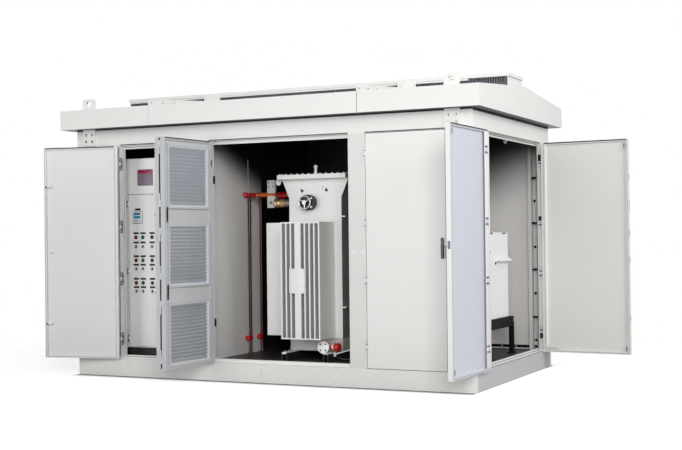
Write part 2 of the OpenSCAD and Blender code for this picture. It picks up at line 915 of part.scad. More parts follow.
module tx_fins() {
    front_count = 9;
    side_count = 20;
    front_span = (front_count - 1) * fin_pitch + fin_t;
    strip_x = tank_x - 51;
    strip_w = 63;
    strip_t = 5;
    color(paint) corner() {
        // flat bar over the front fins
        translate([strip_x, tank_y - fin_d - strip_t, fin_z]) cube([strip_w, strip_t + 1, fin_h]);
        translate([tank_x - front_span / 2, tank_y - fin_d, fin_z]) fin_bank(front_count, fin_d);
        translate([tank_x + front_span / 2, tank_y1 + fin_d, fin_z]) rotate(180) fin_bank(front_count, fin_d);
        translate([tank_x0 - side_fin_d, tank_y + 55 + (side_count - 1) * fin_pitch + fin_t, fin_z])
            rotate(-90) fin_bank(side_count, side_fin_d);
    }
}

// Channel rails under the tank, reaching out in front.
module tx_rails() {
    rail_w = 56;
    rail_web = 8;
    rail_inset = 65;
    past = 260;
    color(steel) corner() for (side = [-1, 1])
        translate([tank_x + side * (tank_w / 2 - rail_inset), 0, 0])
            along_y(tank_y - past, tank_y1 + 100) difference() {
                square_from(-rail_w / 2, floor_z, rail_w / 2, tank_z);
                square_from(-rail_w / 2 + rail_web, floor_z - 1, rail_w / 2 - rail_web, tank_z - rail_web);
            }
}

wheel_x = tank_x - 58;
wheel_z = cover_z - 239;
wheel_y = tank_y - 122;
tap_shaft_r = 9;

// Housing of the tap changer: a stepped drum with its shaft towards the front.
module tap_changer() {
    color(black) corner() {
        bar_y(wheel_x, tank_y - 70, tank_y, wheel_z, 80);
        bar_y(wheel_x, tank_y - 92, tank_y - 60, wheel_z, 58);
        bar_y(wheel_x, wheel_y + 18, tank_y - 60, wheel_z, 22);
        bar_y(wheel_x, wheel_y - 12, tank_y - 60, wheel_z, tap_shaft_r);
    }
}

// Handwheel with three spokes and a bored hub that turns on the shaft.
module tap_wheel() {
    hub_r = 19;
    spoke_r = 6;
    color("silver") corner() translate([wheel_x, wheel_y, wheel_z]) rotate([90, 0, 0]) difference() {
        union() {
            rotate_extrude() translate([wheel_r - rim_r, 0]) circle(r = rim_r, $fn = 16);
            translate([0, 0, -12]) cylinder(r = hub_r, h = 24);
            for (a = [30, 150, 270]) rotate(a) translate([hub_r - 6, 0, 0]) rotate([0, 90, 0])
                cylinder(r = spoke_r, h = wheel_r - rim_r - hub_r + 6, $fn = 16);
        }
        translate([0, 0, -13]) cylinder(r = tap_shaft_r + pin_clear, h = 26);
    }
}

// Drain outlet: a flanged stub on the tank's front with a handwheel valve beside it.
module drain_valve() {
    x = tank_x + 140;
    z = tank_z + 48;
    color("firebrick") corner() {
        bar_y(x, tank_y - 120, tank_y, z, 32);
        bar_y(x, tank_y - 134, tank_y - 118, z, 62);
        bar_x(x + 20, x + 110, tank_y - 70, z, 22);
        bar_x(x + 105, x + 150, tank_y - 70, z, 42);
    }
}

// ---------- pipes and terminals beside the transformer ----------

riser_x = partition_x + partition_t + 33;
riser_y = [900, 1145];
riser_r = 16;
link_z = cover_z - 135;
link_r = 24;
block_x0 = 1791;
block_x1 = 1880;

module riser_pipes() {
    color([0.45, 0.10, 0.07]) corner() for (y = riser_y)
        translate([riser_x, y, floor_z]) cylinder(r = riser_r, h = link_z - link_r - floor_z);
}

module riser_knobs() {
    knob_z = floor_z + 166;
    knob_r = 27;
    color("crimson") corner() for (y = riser_y)
        bar_y(riser_x, y - riser_r - 2 * knob_r, y - riser_r, knob_z, knob_r);
}

// Two round links from the risers, one to the terminal block and one to the tank's side.
module copper_links() {
    color([0.72, 0.36, 0.16]) corner() {
        bar_x(partition_x + partition_t, block_x1, riser_y[0], link_z, link_r);
        bar_x(partition_x + partition_t, tank_x0, riser_y[1], link_z, link_r);
        // the tapered bushing between the lower block and the tank
        translate([block_x1, riser_y[0], link_z - 93]) rotate([0, 90, 0])
            cylinder(r1 = 48, r2 = 26, h = tank_x0 - block_x1);
    }
}

// Two moulded blocks clamped on the front link, one above it and one below.
module terminal_block() {
    half_d = 20;
    above = 150;
    below = 140;
    seat = link_r + 0.3;
    color("white") corner() difference() {
        block([block_x0, riser_y[0] - half_d, link_z - below],
              [block_x1, riser_y[0] + half_d, link_z + above]);
        bar_x(block_x0 - 1, block_x1 + 1, riser_y[0], link_z, seat);
    }
}

// ---------- high-voltage set ----------

cab_z = floor_z + stand_h;
flap_z = cab_z + 580;
flap_past = 50;

module hv_cabinet() {
    seam = 4;
    color("white") corner() difference() {
        union() {
            block([cab_x - cab_d, cab_y - cab_w, cab_z], [cab_x, cab_y, cab_z + cab_h]);
            // sloping cover over the operating shaft
            along_y(cab_y - 380, cab_y - 20)
                polygon([[cab_x - 1, flap_z + 45], [cab_x + flap_past, flap_z + 5],
                         [cab_x + flap_past, flap_z - 5], [cab_x + 8, flap_z + 5], [cab_x - 1, flap_z - 30]]);
        }
        // joint lines between the upper, middle and lower covers
        for (z = [flap_z - 70, cab_z + cab_h - 60])
            block([cab_x - seam, cab_y - cab_w - 1, z], [cab_x + 1, cab_y + 1, z + seam]);
    }
}

// Stand of square legs under a deep frame.
module hv_stand() {
    frame_h = 100;
    frame_t = 10;
    x0 = cab_x - cab_d - 20;
    x1 = cab_x + 45;
    y0 = cab_y - cab_w - 45;
    y1 = cab_y + 45;
    color(black) corner() {
        for (x = [x0, x1 - leg], y = [y0, y1 - leg])
            block([x, y, floor_z], [x + leg, y + leg, cab_z - 1]);
        difference() {
            block([x0, y0, cab_z - frame_h], [x1, y1, cab_z]);
            block([x0 + frame_t, y0 + frame_t, cab_z - frame_h - 1],
                  [x1 - frame_t, y1 - frame_t, cab_z - frame_t]);
        }
    }
}

base_side_beams();
base_end_beams();
base_cross_beams();
floor_plate();
front_left_panel();
front_posts();
front_corner_post();
rear_corner_post();
front_header();
end_header();
rear_wall();
left_end_wall();
lv_partition();
door_sills();
roof_left();
roof_middle();
roof_right();
vent_grilles();
vent_cap();
lifting_lugs();
door_hinges();
tx_folding_leaves();
tx_louvres();
tx_fold_hinges();
lv_door();
hv_front_door();
end_front_door();
end_rear_door();
hv_door_lock();
end_front_lock();
board_carcass();
board_plinth();
board_panel();
board_door();
board_red_devices();
board_green_devices();
tx_tank();
tx_cover();
tx_fins();
tx_rails();
tap_changer();
tap_wheel();
drain_valve();
riser_pipes();
riser_knobs();
copper_links();
terminal_block();
hv_cabinet();
hv_stand();
corner_stiffener();
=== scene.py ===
# %% [markdown]
# # A compact substation, finished in Blender
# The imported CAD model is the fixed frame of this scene: every wall, door leaf, fin and pipe
# is already at its real size. Here the model gets its paint, its bolts, its instruments and
# its light. Blender's lengths are metres, +Z is up, +X runs along the front and -Y is out of
# the front doors.

# %% Load the frame
import json
import math
import bpy
import numpy as np
from mathutils import Matrix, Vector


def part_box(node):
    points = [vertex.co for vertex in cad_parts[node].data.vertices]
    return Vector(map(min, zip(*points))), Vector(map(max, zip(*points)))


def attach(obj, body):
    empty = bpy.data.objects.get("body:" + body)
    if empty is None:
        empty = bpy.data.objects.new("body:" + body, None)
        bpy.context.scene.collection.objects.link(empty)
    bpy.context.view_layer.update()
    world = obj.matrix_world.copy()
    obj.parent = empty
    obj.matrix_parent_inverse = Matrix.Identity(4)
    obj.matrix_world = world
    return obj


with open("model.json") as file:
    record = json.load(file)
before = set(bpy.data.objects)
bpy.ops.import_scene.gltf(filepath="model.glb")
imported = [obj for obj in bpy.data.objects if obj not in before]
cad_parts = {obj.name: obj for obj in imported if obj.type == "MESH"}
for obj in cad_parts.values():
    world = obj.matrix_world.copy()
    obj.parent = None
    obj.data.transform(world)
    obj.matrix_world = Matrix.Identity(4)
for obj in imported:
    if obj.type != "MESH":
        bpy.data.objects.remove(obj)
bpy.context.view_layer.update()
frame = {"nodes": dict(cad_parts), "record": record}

# %% [markdown]
# A maker measures a kiosk in millimetres from a corner of its skid. The fittings below could
# be placed by eye, but `box_mm` reads the frame in those terms instead, so that a bolt is
# written down from the plate that it holds.

# %% Millimetres from the skid's corner
skid_corner = 1000 * np.array(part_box("base_side_beams")[0])


def box_mm(node):
    """The low and the high corner of a CAD node, in millimetres from the skid's front left corner."""
    return [np.round(1000 * np.array(corner) - skid_corner, 1).tolist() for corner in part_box(node)]


BODY_L, BODY_W, _ = box_mm("base_side_beams")[1]
WALL_TOP = box_mm("front_header")[1][2]
FLOOR = box_mm("floor_plate")[1][2]
HINGE_Z = (385, 1005, 1540, 2190)  # the middles of every leaf's four hinges
print("body", BODY_L, "x", BODY_W, "mm, walls up to", WALL_TOP, "and floor at", FLOOR)

# %% [markdown]
# The camera stands at eye height in front of the right-hand corner. A camera could be aimed
# with a constraint, but a plain rotation matrix says exactly how it is held: its columns are
# the camera's right, up and backward directions.

# %% Camera
camera_place = np.array([5.827, -11.370, 1.424])
camera_yaw, camera_pitch, camera_roll = np.radians([25.93, 0.51, -0.64])
look = np.array([
    -math.sin(camera_yaw) * math.cos(camera_pitch),
    math.cos(camera_yaw) * math.cos(camera_pitch),
    math.sin(camera_pitch),
])
level_right = np.array([math.cos(camera_yaw), math.sin(camera_yaw), 0.0])
level_up = np.cross(level_right, look)
right = level_right * math.cos(camera_roll) + level_up * math.sin(camera_roll)
up = level_up * math.cos(camera_roll) - level_right * math.sin(camera_roll)

camera = bpy.data.objects.new("camera", bpy.data.cameras.new("camera"))
camera.data.lens = 63.41
camera.data.sensor_width = 36.0
camera.data.clip_end = 200.0
pose = np.eye(4)
pose[:3, 0], pose[:3, 1], pose[:3, 2], pose[:3, 3] = right, up, -look, camera_place
camera.matrix_world = Matrix(pose)
bpy.context.scene.collection.objects.link(camera)
bpy.context.scene.camera = camera
print("camera looks along", look.round(3))

# %% [markdown]
# A node tree is easiest to read as nested calls. `add` makes one shader node, sets its plain
# values and links whatever is given as another node's output, so a material below reads like
# a formula.

# %% Node helper
def add(tree, kind, _out=0, _set=None, **inputs):
    """Makes a shader node, fills its sockets by name or number and returns one output."""
    made = tree.nodes.new("ShaderNode" + kind)
    for name, value in (_set or {}).items():
        setattr(made, name, value)
    for name, value in inputs.items():
        key = int(name[1:]) if name[0] == "i" and name[1:].isdigit() else name.replace("_", " ")
        feed(tree, made.inputs[key], value)
    return made.outputs[_out]


def feed(tree, socket, value):
    """Links an output to a socket, or writes a plain value on it."""
    if isinstance(value, bpy.types.NodeSocket):
        tree.links.new(value, socket)
    else:
        socket.default_value = value


def blend(tree, factor, a, b):
    """Mixes colour a towards colour b by factor."""
    return add(tree, "Mix", _out=2, _set={"data_type": "RGBA"}, i0=factor, i6=a, i7=b)


def shown(red, green, blue):
    """A colour as a screen shows it, turned to the linear values that shaders use."""
    s = np.array([red, green, blue], float)
    linear = np.where(s <= 0.04045, s / 12.92, ((s + 0.055) / 1.055) ** 2.4)
    return (*linear.tolist(), 1.0)


print("mid grey on a screen is", round(shown(0.5, 0.5, 0.5)[0], 3), "in linear light")

# %% [markdown]
# Much of the paint depends on place: inside or outside, under the roof, between the fins. It
# could be painted by hand on the meshes, but then every change of size would undo the work.
# Masks are arithmetic instead: a comparison gives 1 or 0, a product of two masks is "both"
# and a sum of two that never meet is "either". Each helper is one Math node, or a chain.

# %% Arithmetic on outputs
def arithmetic(tree, operation, first, *others, clamp=False):
    """One operation carried on from the first value over all the others."""
    for other in others:
        first = add(tree, "Math", _set={"operation": operation, "use_clamp": clamp}, i0=first, i1=other)
    return first


def times(tree, *factors, clamp=False):
    """The product of numbers or outputs."""
    return arithmetic(tree, "MULTIPLY", *factors, clamp=clamp)


def plus(tree, *terms, clamp=False):
    """The sum of numbers or outputs."""
    return arithmetic(tree, "ADD", *terms, clamp=clamp)


def minus(tree, value, less):
    """The difference of two numbers or outputs."""
    return arithmetic(tree, "SUBTRACT", value, less)


def above(tree, value, limit):
    """1 where a value is greater than a limit."""
    return arithmetic(tree, "GREATER_THAN", value, limit)


def below(tree, value, limit):
    """1 where a value is less than a limit."""
    return arithmetic(tree, "LESS_THAN", value, limit)


def within(tree, value, low, high):
    """1 where a value lies between low and high."""
    return times(tree, above(tree, value, low), below(tree, value, high))


def size_of(tree, value):
    """A value without its sign."""
    return add(tree, "Math", _set={"operation": "ABSOLUTE"}, i0=value)


def split(tree, vector):
    """The X, Y and Z of a vector."""
    made = tree.nodes.new("ShaderNodeSeparateXYZ")
    tree.links.new(vector, made.inputs[0])
    return tuple(made.outputs)


print("arithmetic ready")

# %% [markdown]
# Effects that many finishes share are node groups, built once. `sheet_paint` is powder coat
# on thin sheet: slow changes of tone from panel to panel, faint rain streaks, the orange
# peel of the film, and dust that gathers near the ground. An image of a painted wall would
# show its grain at one distance only, while noise has grain at every scale.

# %% Paint film group
def new_group(name, inputs, outputs):
    """An empty shader group with (name, socket type, default) inputs and (name, type) outputs."""
    tree = bpy.data.node_groups.new(name, "ShaderNodeTree")
    for socket, kind, default in inputs:
        made = tree.interface.new_socket(name=socket, in_out="INPUT", socket_type="NodeSocket" + kind)
        if default is not None:
            made.default_value = default
    for socket, kind in outputs:
        tree.interface.new_socket(name=socket, in_out="OUTPUT", socket_type="NodeSocket" + kind)
    source = tree.nodes.new("NodeGroupInput").outputs
    sink = tree.nodes.new("NodeGroupOutput").inputs
    return tree, source, sink


def scaled(tree, vector, scale):
    """The coordinates stretched by a different amount along each axis."""
    return add(tree, "Mapping", Vector=vector, Scale=scale)


def around_zero(tree, noise, amount):
    """(noise - 0.5) * amount: a noise of 0 to 1 made to swing round zero."""
    return times(tree, minus(tree, noise, 0.5), amount)


DUST_TOP = 0.55  # metres above the ground that splashed dust reaches


def make_paint_group():
    """Tone = 1 + mottle + streaks, dust = low * fine noise, height = peel + the sheet's slow waves."""
    tree, source, sink = new_group("sheet_paint", [
        ("Vector", "Vector", None), ("Paint", "Color", (0.8, 0.8, 0.8, 1)),
        ("Gloss", "Float", 0.4), ("Mottle", "Float", 0.05), ("Streaks", "Float", 0.04),
        ("Dust", "Float", 0.2),
    ], [("Color", "Color"), ("Roughness", "Float"), ("Height", "Float")])
    where = source["Vector"]
    broad = add(tree, "TexNoise", Vector=where, Scale=1.3, Detail=3.0)
    fine = add(tree, "TexNoise", Vector=where, Scale=34.0, Detail=4.0)
    peel = add(tree, "TexNoise", Vector=where, Scale=420.0, Detail=1.0)
    rain = add(tree, "TexNoise", Vector=scaled(tree, where, (26.0, 26.0, 0.9)), Scale=1.0, Detail=3.0)
    low = add(tree, "MapRange", Value=split(tree, where)[2], From_Min=DUST_TOP, From_Max=0.0)
    mottle, streaks = around_zero(tree, broad, source["Mottle"]), around_zero(tree, rain, source["Streaks"])
    tone = plus(tree, mottle, streaks, 1.0)
    toned = add(tree, "VectorMath", _set={"operation": "SCALE"}, Vector=source["Paint"], Scale=tone)
    dust = times(tree, low, fine, source["Dust"], clamp=True)
    tree.links.new(blend(tree, dust, toned, shown(0.55, 0.52, 0.48)), sink["Color"])
    rough = plus(tree, source["Gloss"], around_zero(tree, fine, 0.12))
    tree.links.new(plus(tree, rough, times(tree, dust, 0.3), clamp=True), sink["Roughness"])
    tree.links.new(plus(tree, times(tree, peel, 0.5), times(tree, broad, 3.0)), sink["Height"])
    return tree


paint_group = make_paint_group()
print("groups:", [g.name for g in bpy.data.node_groups])

# %% [markdown]
# The rooms inside are painted a duller grey than the outside, yet one wall is one solid with
# both faces. `room_side` is a mask that is 1 inside the rooms: it compares the coordinates
# with the box of the rooms, so that no face has to be picked by hand. Where the sheet faces
# down, under the roof, it is painted dark, for its primer and for the shade under the roof.
#
# The upper part of the rooms is painted dark, a painted shade like that of rooms lit through
# low doorways. Soft lamps alone would leave it too bright, so the shade is in the paint,
# behind a sloping edge: in the transformer room it comes down towards the rear, and the far half
# is all dark. In the high-voltage room, at the right end, it comes down towards the left.

# %% Room mask group
ROOM_HALF_L = -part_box("left_end_wall")[1].x
ROOM_HALF_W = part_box("rear_wall")[0].y
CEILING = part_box("rear_wall")[1].z + 0.1
END_ROOM_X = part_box("front_posts")[1].x - 0.2
FACE_MARGIN = 0.006  # counts the face of a wall as inside
FAR_HALF_FROM = 0.02
SHADE_FROM, SHADE_TO = 1.68, 2.12  # the depths between which the shade sets in
MIDDLE_LEAN, FAR_HALF_DEPTH = 0.45, 2.2  # depth = height + lean * y, and more in the far half
END_BASE, END_RISE, END_LEAN = 1.339, 0.473, 0.2365  # depth = base + rise * height - lean * x


def make_room_group():
    """The masks of the rooms, from where a point lies and which way its face looks.

    Height plus a slope gives a depth, and the depth is eased from 0 to 1 to give the shade.
    """
    tree, source, sink = new_group("room_side", [("Vector", "Vector", None), ("Normal", "Vector", None)],
                                   [("Mask", "Float"), ("Painted room shade", "Float"), ("Under roof", "Float")])
    x, y, z = split(tree, source["Vector"])
    inside = times(tree, below(tree, size_of(tree, x), ROOM_HALF_L + FACE_MARGIN),
                   below(tree, size_of(tree, y), ROOM_HALF_W + FACE_MARGIN), below(tree, z, CEILING))
    tree.links.new(inside, sink["Mask"])

    end_room = above(tree, x, END_ROOM_X)
    far_half = times(tree, above(tree, y, FAR_HALF_FROM), FAR_HALF_DEPTH)
    middle_depth = plus(tree, z, times(tree, y, MIDDLE_LEAN), far_half)
    end_depth = minus(tree, plus(tree, times(tree, z, END_RISE), END_BASE), times(tree, x, END_LEAN))
    depth = plus(tree, middle_depth, times(tree, end_room, minus(tree, end_depth, middle_depth)))
    shade = add(tree, "MapRange", _set={"interpolation_type": "SMOOTHSTEP"}, Value=depth,
                From_Min=SHADE_FROM, From_Max=SHADE_TO)
    # Shade is painted into the upper rooms: 0 below the sloping edge, 1 above it.
    tree.links.new(times(tree, inside, shade), sink["Painted room shade"])

    faces_down = below(tree, split(tree, source["Normal"])[2], -0.4)
    tree.links.new(times(tree, inside, faces_down), sink["Under roof"])
    return tree


room_group = make_room_group()
print("rooms reach", round(ROOM_HALF_L, 3), "m to the ends and", round(ROOM_HALF_W, 3), "m to front and rear")

# %% [markdown]
# Edges are painted lighter: a painted highlight, as an edge catches the light, and wear, as
# hands, tools and rain thin the paint there. An edge could be marked by hand, but a group
# finds it: it compares the true normal with one that the Bevel node has rounded, and they
# differ only near an edge.

# %% Worn edge group
def make_edge_group():
    """1 where the rounded normal turns from the true one, broken up by patches of noise."""
    tree, source, sink = new_group("edge_highlight_and_wear", [("Vector", "Vector", None), ("Width", "Float", 0.003)],
                                   [("Mask", "Float")])
    rounded = add(tree, "Bevel", _set={"samples": 4}, Radius=source["Width"])
    plain = add(tree, "NewGeometry", _out="Normal")
    same = add(tree, "VectorMath", _out="Value", _set={"operation": "DOT_PRODUCT"}, i0=rounded, i1=plain)
    edge = add(tree, "MapRange", Value=same, From_Min=0.995, From_Max=0.86)
    broken = add(tree, "TexNoise", Vector=source["Vector"], Scale=18.0, Detail=3.0)
    patchy = add(tree, "MapRange", Value=broken, From_Min=0.42, From_Max=0.6)
    tree.links.new(times(tree, edge, patchy, clamp=True), sink["Mask"])
    return tree


edge_group = make_edge_group()
print("groups:", [g.name for g in bpy.data.node_groups])

# %% [markdown]
# Every material starts alike: one Principled shader, whose constant values are written on its
# own sockets, and the object coordinates. Those don't stretch with a piece's size, and they
# stay on a door when it turns.

# %% Material helpers
finish = {}


def start_material(name, **sockets):
    """A material with one Principled shader, and the object coordinates to paint by."""
    material = bpy.data.materials.new(name)
    material.use_nodes = True
    tree = material.node_tree
    shader = tree.nodes["Principled BSDF"]
    for key, value in sockets.items():
        shader.inputs[key.replace("_", " ")].default_value = value
    return material, tree, shader, add(tree, "TexCoord", _out="Object")


def group_node(tree, group, **inputs):
    """Places a group, with its values and links, and returns its outputs."""
    made = tree.nodes.new("ShaderNodeGroup")
    made.node_tree = group
    for name, value in inputs.items():
        feed(tree, made.inputs[name], value)
    return made.outputs


def bump(tree, shader, height, strength, distance):
    """Feeds a height to the shader's normal."""
    normal = add(tree, "Bump", Height=height, Strength=strength, Distance=distance)
    tree.links.new(normal, shader.inputs["Normal"])


print("materials can be started")

# %% [markdown]
# `painted` is coated metal, as nearly every sheet of the kiosk is. It places the three groups
# in a material, and only what changes over the surface comes from them. A single group with
# the shader inside would be shorter, but the shader has to stay in the material itself.

# %% Painted metal
# The painted shade of the upper rooms, the roof's dark underside (primer and shade), and the lightened edges
# (wear and a painted highlight).
ROOM_SHADE_BLACK, PRIMER_AND_SHADE, EDGE_SHEEN_AND_WEAR = (0.02, 0.02, 0.025), (0.10, 0.10, 0.10), (0.97, 0.97, 0.96)


def painted(name, colour, gloss=0.4, mottle=0.05, streaks=0.03, dust=0.25, peel=0.12,
            room=None, edge_sheen_and_wear=0.35, **sockets):
    """Coated metal. room is the colour inside the rooms; the edge setting lightens its edges, for wear and a
    painted highlight.
    """
    material, tree, shader, where = start_material(name, **sockets)
    paint = shown(*colour)
    if room:
        normal = add(tree, "NewGeometry", _out="Normal")
        side = group_node(tree, room_group, Vector=where, Normal=normal)
        # Inside the rooms: their grey, then shade painted dark on the upper walls, then the dark underside of
        # the roof, for primer and shade.
        for mask, inner in (("Mask", room), ("Painted room shade", ROOM_SHADE_BLACK), ("Under roof", PRIMER_AND_SHADE)):
            paint = blend(tree, side[mask], paint, shown(*inner))
    film = group_node(tree, paint_group, Vector=where, Paint=paint,
                      Gloss=gloss, Mottle=mottle, Streaks=streaks, Dust=dust)
    edge = group_node(tree, edge_group, Vector=where)
    # Edges are lightened: a painted highlight together with wear.
    sheen_and_wear_mask = times(tree, edge["Mask"], edge_sheen_and_wear)
    tree.links.new(blend(tree, sheen_and_wear_mask, film["Color"], shown(*EDGE_SHEEN_AND_WEAR)), shader.inputs["Base Color"])
    tree.links.new(film["Roughness"], shader.inputs["Roughness"])
    bump(tree, shader, film["Height"], peel, 0.0012)
    finish[name] = material


print("paint ready")

# %% [markdown]
# The paints, each named for the part that wears it. The kiosk is one off-white outside. The
# folding leaves, the left door and the beam ends have darker copies of it, painted shade for the
# less light that they get, and other doors and posts come from other batches, so their coats
# differ a little. One material with a random tone for each object would be shorter, but then no
# door's tone could be chosen.

# %% The kiosk's paints
room_grey = (0.86, 0.85, 0.84)
# A darker copy of the kiosk's paint: painted shade for the folding leaves.
painted("fold_shade_paint", (0.75, 0.755, 0.765), streaks=0.0)
painted("hinge_paint", (0.84, 0.84, 0.86), gloss=0.35)
painted("fold_hinge_paint", (0.73, 0.74, 0.76), gloss=0.35)
# Darker, as painted shade on the ends of the beams.
painted("beam_end_shade_paint", (0.71, 0.72, 0.73))
painted("seal_rubber", (0.62, 0.62, 0.62), gloss=0.7, edge_sheen_and_wear=0.0)
painted("blue_white_paint", (0.87, 0.88, 0.87))
painted("warm_paint", (0.89, 0.89, 0.88))
painted("kiosk_paint", (0.895, 0.895, 0.885), room=room_grey)
painted("header_paint", (0.90, 0.90, 0.89), room=room_grey)
painted("post_paint", (0.85, 0.85, 0.84), room=room_grey)
# Darker, as painted shade on the left door, where the light falls off.
painted("lv_leaf_shade_paint", (0.835, 0.845, 0.84))
painted("room_paint", room_grey, gloss=0.5, streaks=0.02, room=room_grey)
painted("louvre_paint", (0.86, 0.87, 0.89), gloss=0.45)
painted("board_paint", (0.985, 0.985, 0.98), gloss=0.45, streaks=0.0, peel=0.3)
painted("tank_paint", (0.885, 0.895, 0.88), gloss=0.3, mottle=0.07, dust=0.5)
painted("cabinet_white", (0.95, 0.95, 0.96), gloss=0.4, streaks=0.0)
painted("vent_dark", (0.30, 0.31, 0.33), gloss=0.5)
painted("plinth_black", (0.07, 0.07, 0.07), gloss=0.6, edge_sheen_and_wear=0.1)
painted("stand_black", (0.01, 0.01, 0.012), gloss=0.6, dust=0.0, edge_sheen_and_wear=0.03, Specular_IOR_Level=0.15)
painted("riser_red", (0.24, 0.06, 0.05), gloss=0.35, mottle=0.25, edge_sheen_and_wear=0.1)
print(len(finish), "painted finishes")

# %% [markdown]
# Bare and plated metal, mouldings and lenses need less: a colour that is broken up by noise,
# and a roughness that follows the same noise, so that no surface is one flat value. Metals
# have Metallic near 1, and lenses a clear coat.

# %% Metals, mouldings and lenses
def plain_finish(name, colour, rough=0.4, spread=0.1, grain=60.0, relief=0.1, stretch=(1, 1, 1), **sockets):
    """A finish broken up by noise of a given grain, stretched for brushed or drawn metal."""
    material, tree, shader, where = start_material(name, **sockets)
    noise = add(tree, "TexNoise", Vector=scaled(tree, where, stretch), Scale=grain, Detail=4.0)
    dark = tuple(c * (1 - spread) for c in shown(*colour)[:3]) + (1.0,)
    tree.links.new(blend(tree, noise, dark, shown(*colour)), shader.inputs["Base Color"])
    rough_now = add(tree, "MapRange", Value=noise, To_Min=max(rough - 0.1, 0.05), To_Max=rough + 0.1)
    tree.links.new(rough_now, shader.inputs["Roughness"])
    bump(tree, shader, noise, relief, 0.0006)
    finish[name] = material


plain_finish("hinge_steel", (0.70, 0.71, 0.72), 0.42, 0.3, Metallic=0.7)
plain_finish("bolt_zinc", (0.72, 0.72, 0.71), 0.35, 0.3, Metallic=0.85)
plain_finish("lock_steel", (0.74, 0.75, 0.77), 0.2, 0.2, Metallic=0.95)
plain_finish("wheel_silver", (0.76, 0.77, 0.78), 0.22, 0.15, Metallic=0.9)
plain_finish("brass", (0.84, 0.74, 0.55), 0.25, 0.3, 20.0, Metallic=0.9)
plain_finish("lock_black", (0.06, 0.06, 0.065), 0.3, 0.2)
plain_finish("gasket", (0.05, 0.05, 0.05), 0.75, 0.3)
plain_finish("tap_black", (0.07, 0.07, 0.08), 0.4, 0.3, 40.0, 0.3)
plain_finish("block_white", (0.82, 0.82, 0.80), 0.5, 0.12, 30.0)
plain_finish("knob_red", (0.80, 0.07, 0.12), 0.3, 0.25, 30.0, Coat_Weight=0.4)
plain_finish("lamp_red", (0.56, 0.05, 0.13), 0.15, 0.3, 90.0, Coat_Weight=0.6)
plain_finish("lamp_green", (0.04, 0.48, 0.27), 0.15, 0.3, 90.0, Coat_Weight=0.6)
plain_finish("label_black", (0.09, 0.09, 0.10), 0.45, 0.2)
plain_finish("plate_white", (0.93, 0.93, 0.93), 0.4, 0.06)
plain_finish("screen_cyan", (0.20, 0.62, 0.76), 0.12, 0.2, 40.0, Coat_Weight=0.5)
plain_finish("display_grey", (0.50, 0.46, 0.52), 0.35, 0.15)
plain_finish("display_pale", (0.62, 0.57, 0.64), 0.35, 0.15)
plain_finish("display_red", (0.66, 0.16, 0.30), 0.3, 0.2)
print(len(finish), "finishes with metals and mouldings")

# %% [markdown]
# A tint repaints part of a finish where a mask is 1, for a colour that follows the place of a
# surface or the way it faces. Most tints paint light and shade: the transformer's right side and
# foot are painted darker for their shade, and dark bands on some hinges stand for shade. A second
# material with its own faces could do the same, but a CAD node keeps one slot and its mesh as it is.
#
# The normal is read from the object, not from the world, so that a tint stays on its face
# when a door turns.

# %% Tints
def tint(name, mask_of, colour):
    """Repaints a painted finish where the mask is 1; mask_of(tree, place, facing) makes the mask."""
    tree = finish[name].node_tree
    film = next(node for node in tree.nodes if node.type == "GROUP" and node.node_tree == paint_group)
    place = split(tree, add(tree, "TexCoord", _out="Object"))
    facing = split(tree, add(tree, "TexCoord", _out="Normal"))
    socket = film.inputs["Paint"]
    before = socket.links[0].from_socket if socket.is_linked else tuple(socket.default_value)
    tree.links.new(blend(tree, mask_of(tree, place, facing), before, shown(*colour)), socket)


SQUARE_ON = 0.7  # a face counts as looking along an axis when that part of its normal is over this


def faces_right(tree, place, facing):
    """1 on faces that look along +X."""
    return above(tree, facing[0], SQUARE_ON)


def faces_front(tree, place, facing):
    """1 on faces that look along -Y."""
    return below(tree, facing[1], -SQUARE_ON)


def faces_down(tree, place, facing):
    """1 on faces that look down, also at a slant."""
    return below(tree, facing[2], -0.25)


print("tints ready")

# %% [markdown]
# The transformer stands in its own shade, and that shade is painted: its right side is dark, the
# gaps between the cooling fins are darker than the fins' edges, and the smooth sheet beside the
# fins is painted lighter, as if it caught the most light. Lamps inside the room could do this too,
# but they would also light its walls.

# %% Painted shade and light of the transformer
fins_low, fins_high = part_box("tx_fins")
RAILS_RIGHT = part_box("tx_rails")[1].x


def shaded_right_side(tree, place, facing):
    """1 on the tank's right side."""
    return times(tree, above(tree, place[0], RAILS_RIGHT + 0.03), faces_right(tree, place, facing))


def shaded_fin_gaps(tree, place, facing):
    """1 on the fins' flanks, but not on the outer face of the last fin."""
    among = within(tree, place[2], fins_low.z, fins_high.z)
    return times(tree, among, below(tree, place[0], fins_high.x - 0.02), faces_right(tree, place, facing))


def lit_beside_fins(tree, place, facing):
    """1 on the front faces of the tank to the right of its fins, and on its side fins at the left."""
    beside = plus(tree, above(tree, place[0], fins_high.x + 0.001), below(tree, place[0], fins_low.x + 0.28))
    among = within(tree, place[2], fins_low.z, fins_high.z)
    return times(tree, among, beside, faces_front(tree, place, facing))


def tank_foot(tree, place, facing):
    """1 on the foot of the tank, under the fins."""
    return below(tree, place[2], 0.40)


# Painted shade on the right side, in the fin gaps and on the foot, and painted light beside the fins.
tint("tank_paint", shaded_right_side, (0.50, 0.50, 0.50))
tint("tank_paint", shaded_fin_gaps, (0.70, 0.70, 0.70))
tint("tank_paint", lit_beside_fins, (0.97, 0.97, 0.96))
tint("tank_paint", tank_foot, (0.74, 0.74, 0.73))
print("fins from", round(fins_low.z, 3), "to", round(fins_high.z, 3), "m up")

# %% [markdown]
# The hinges are one node for all doors, so place alone can tell them apart. Those of the left
# door are painted duller and darker, partly for their shade, every middle knuckle has a dark
# band painted above and below it for its shadow, and the rear end door's hinges have black
# bands painted for the shade in them.

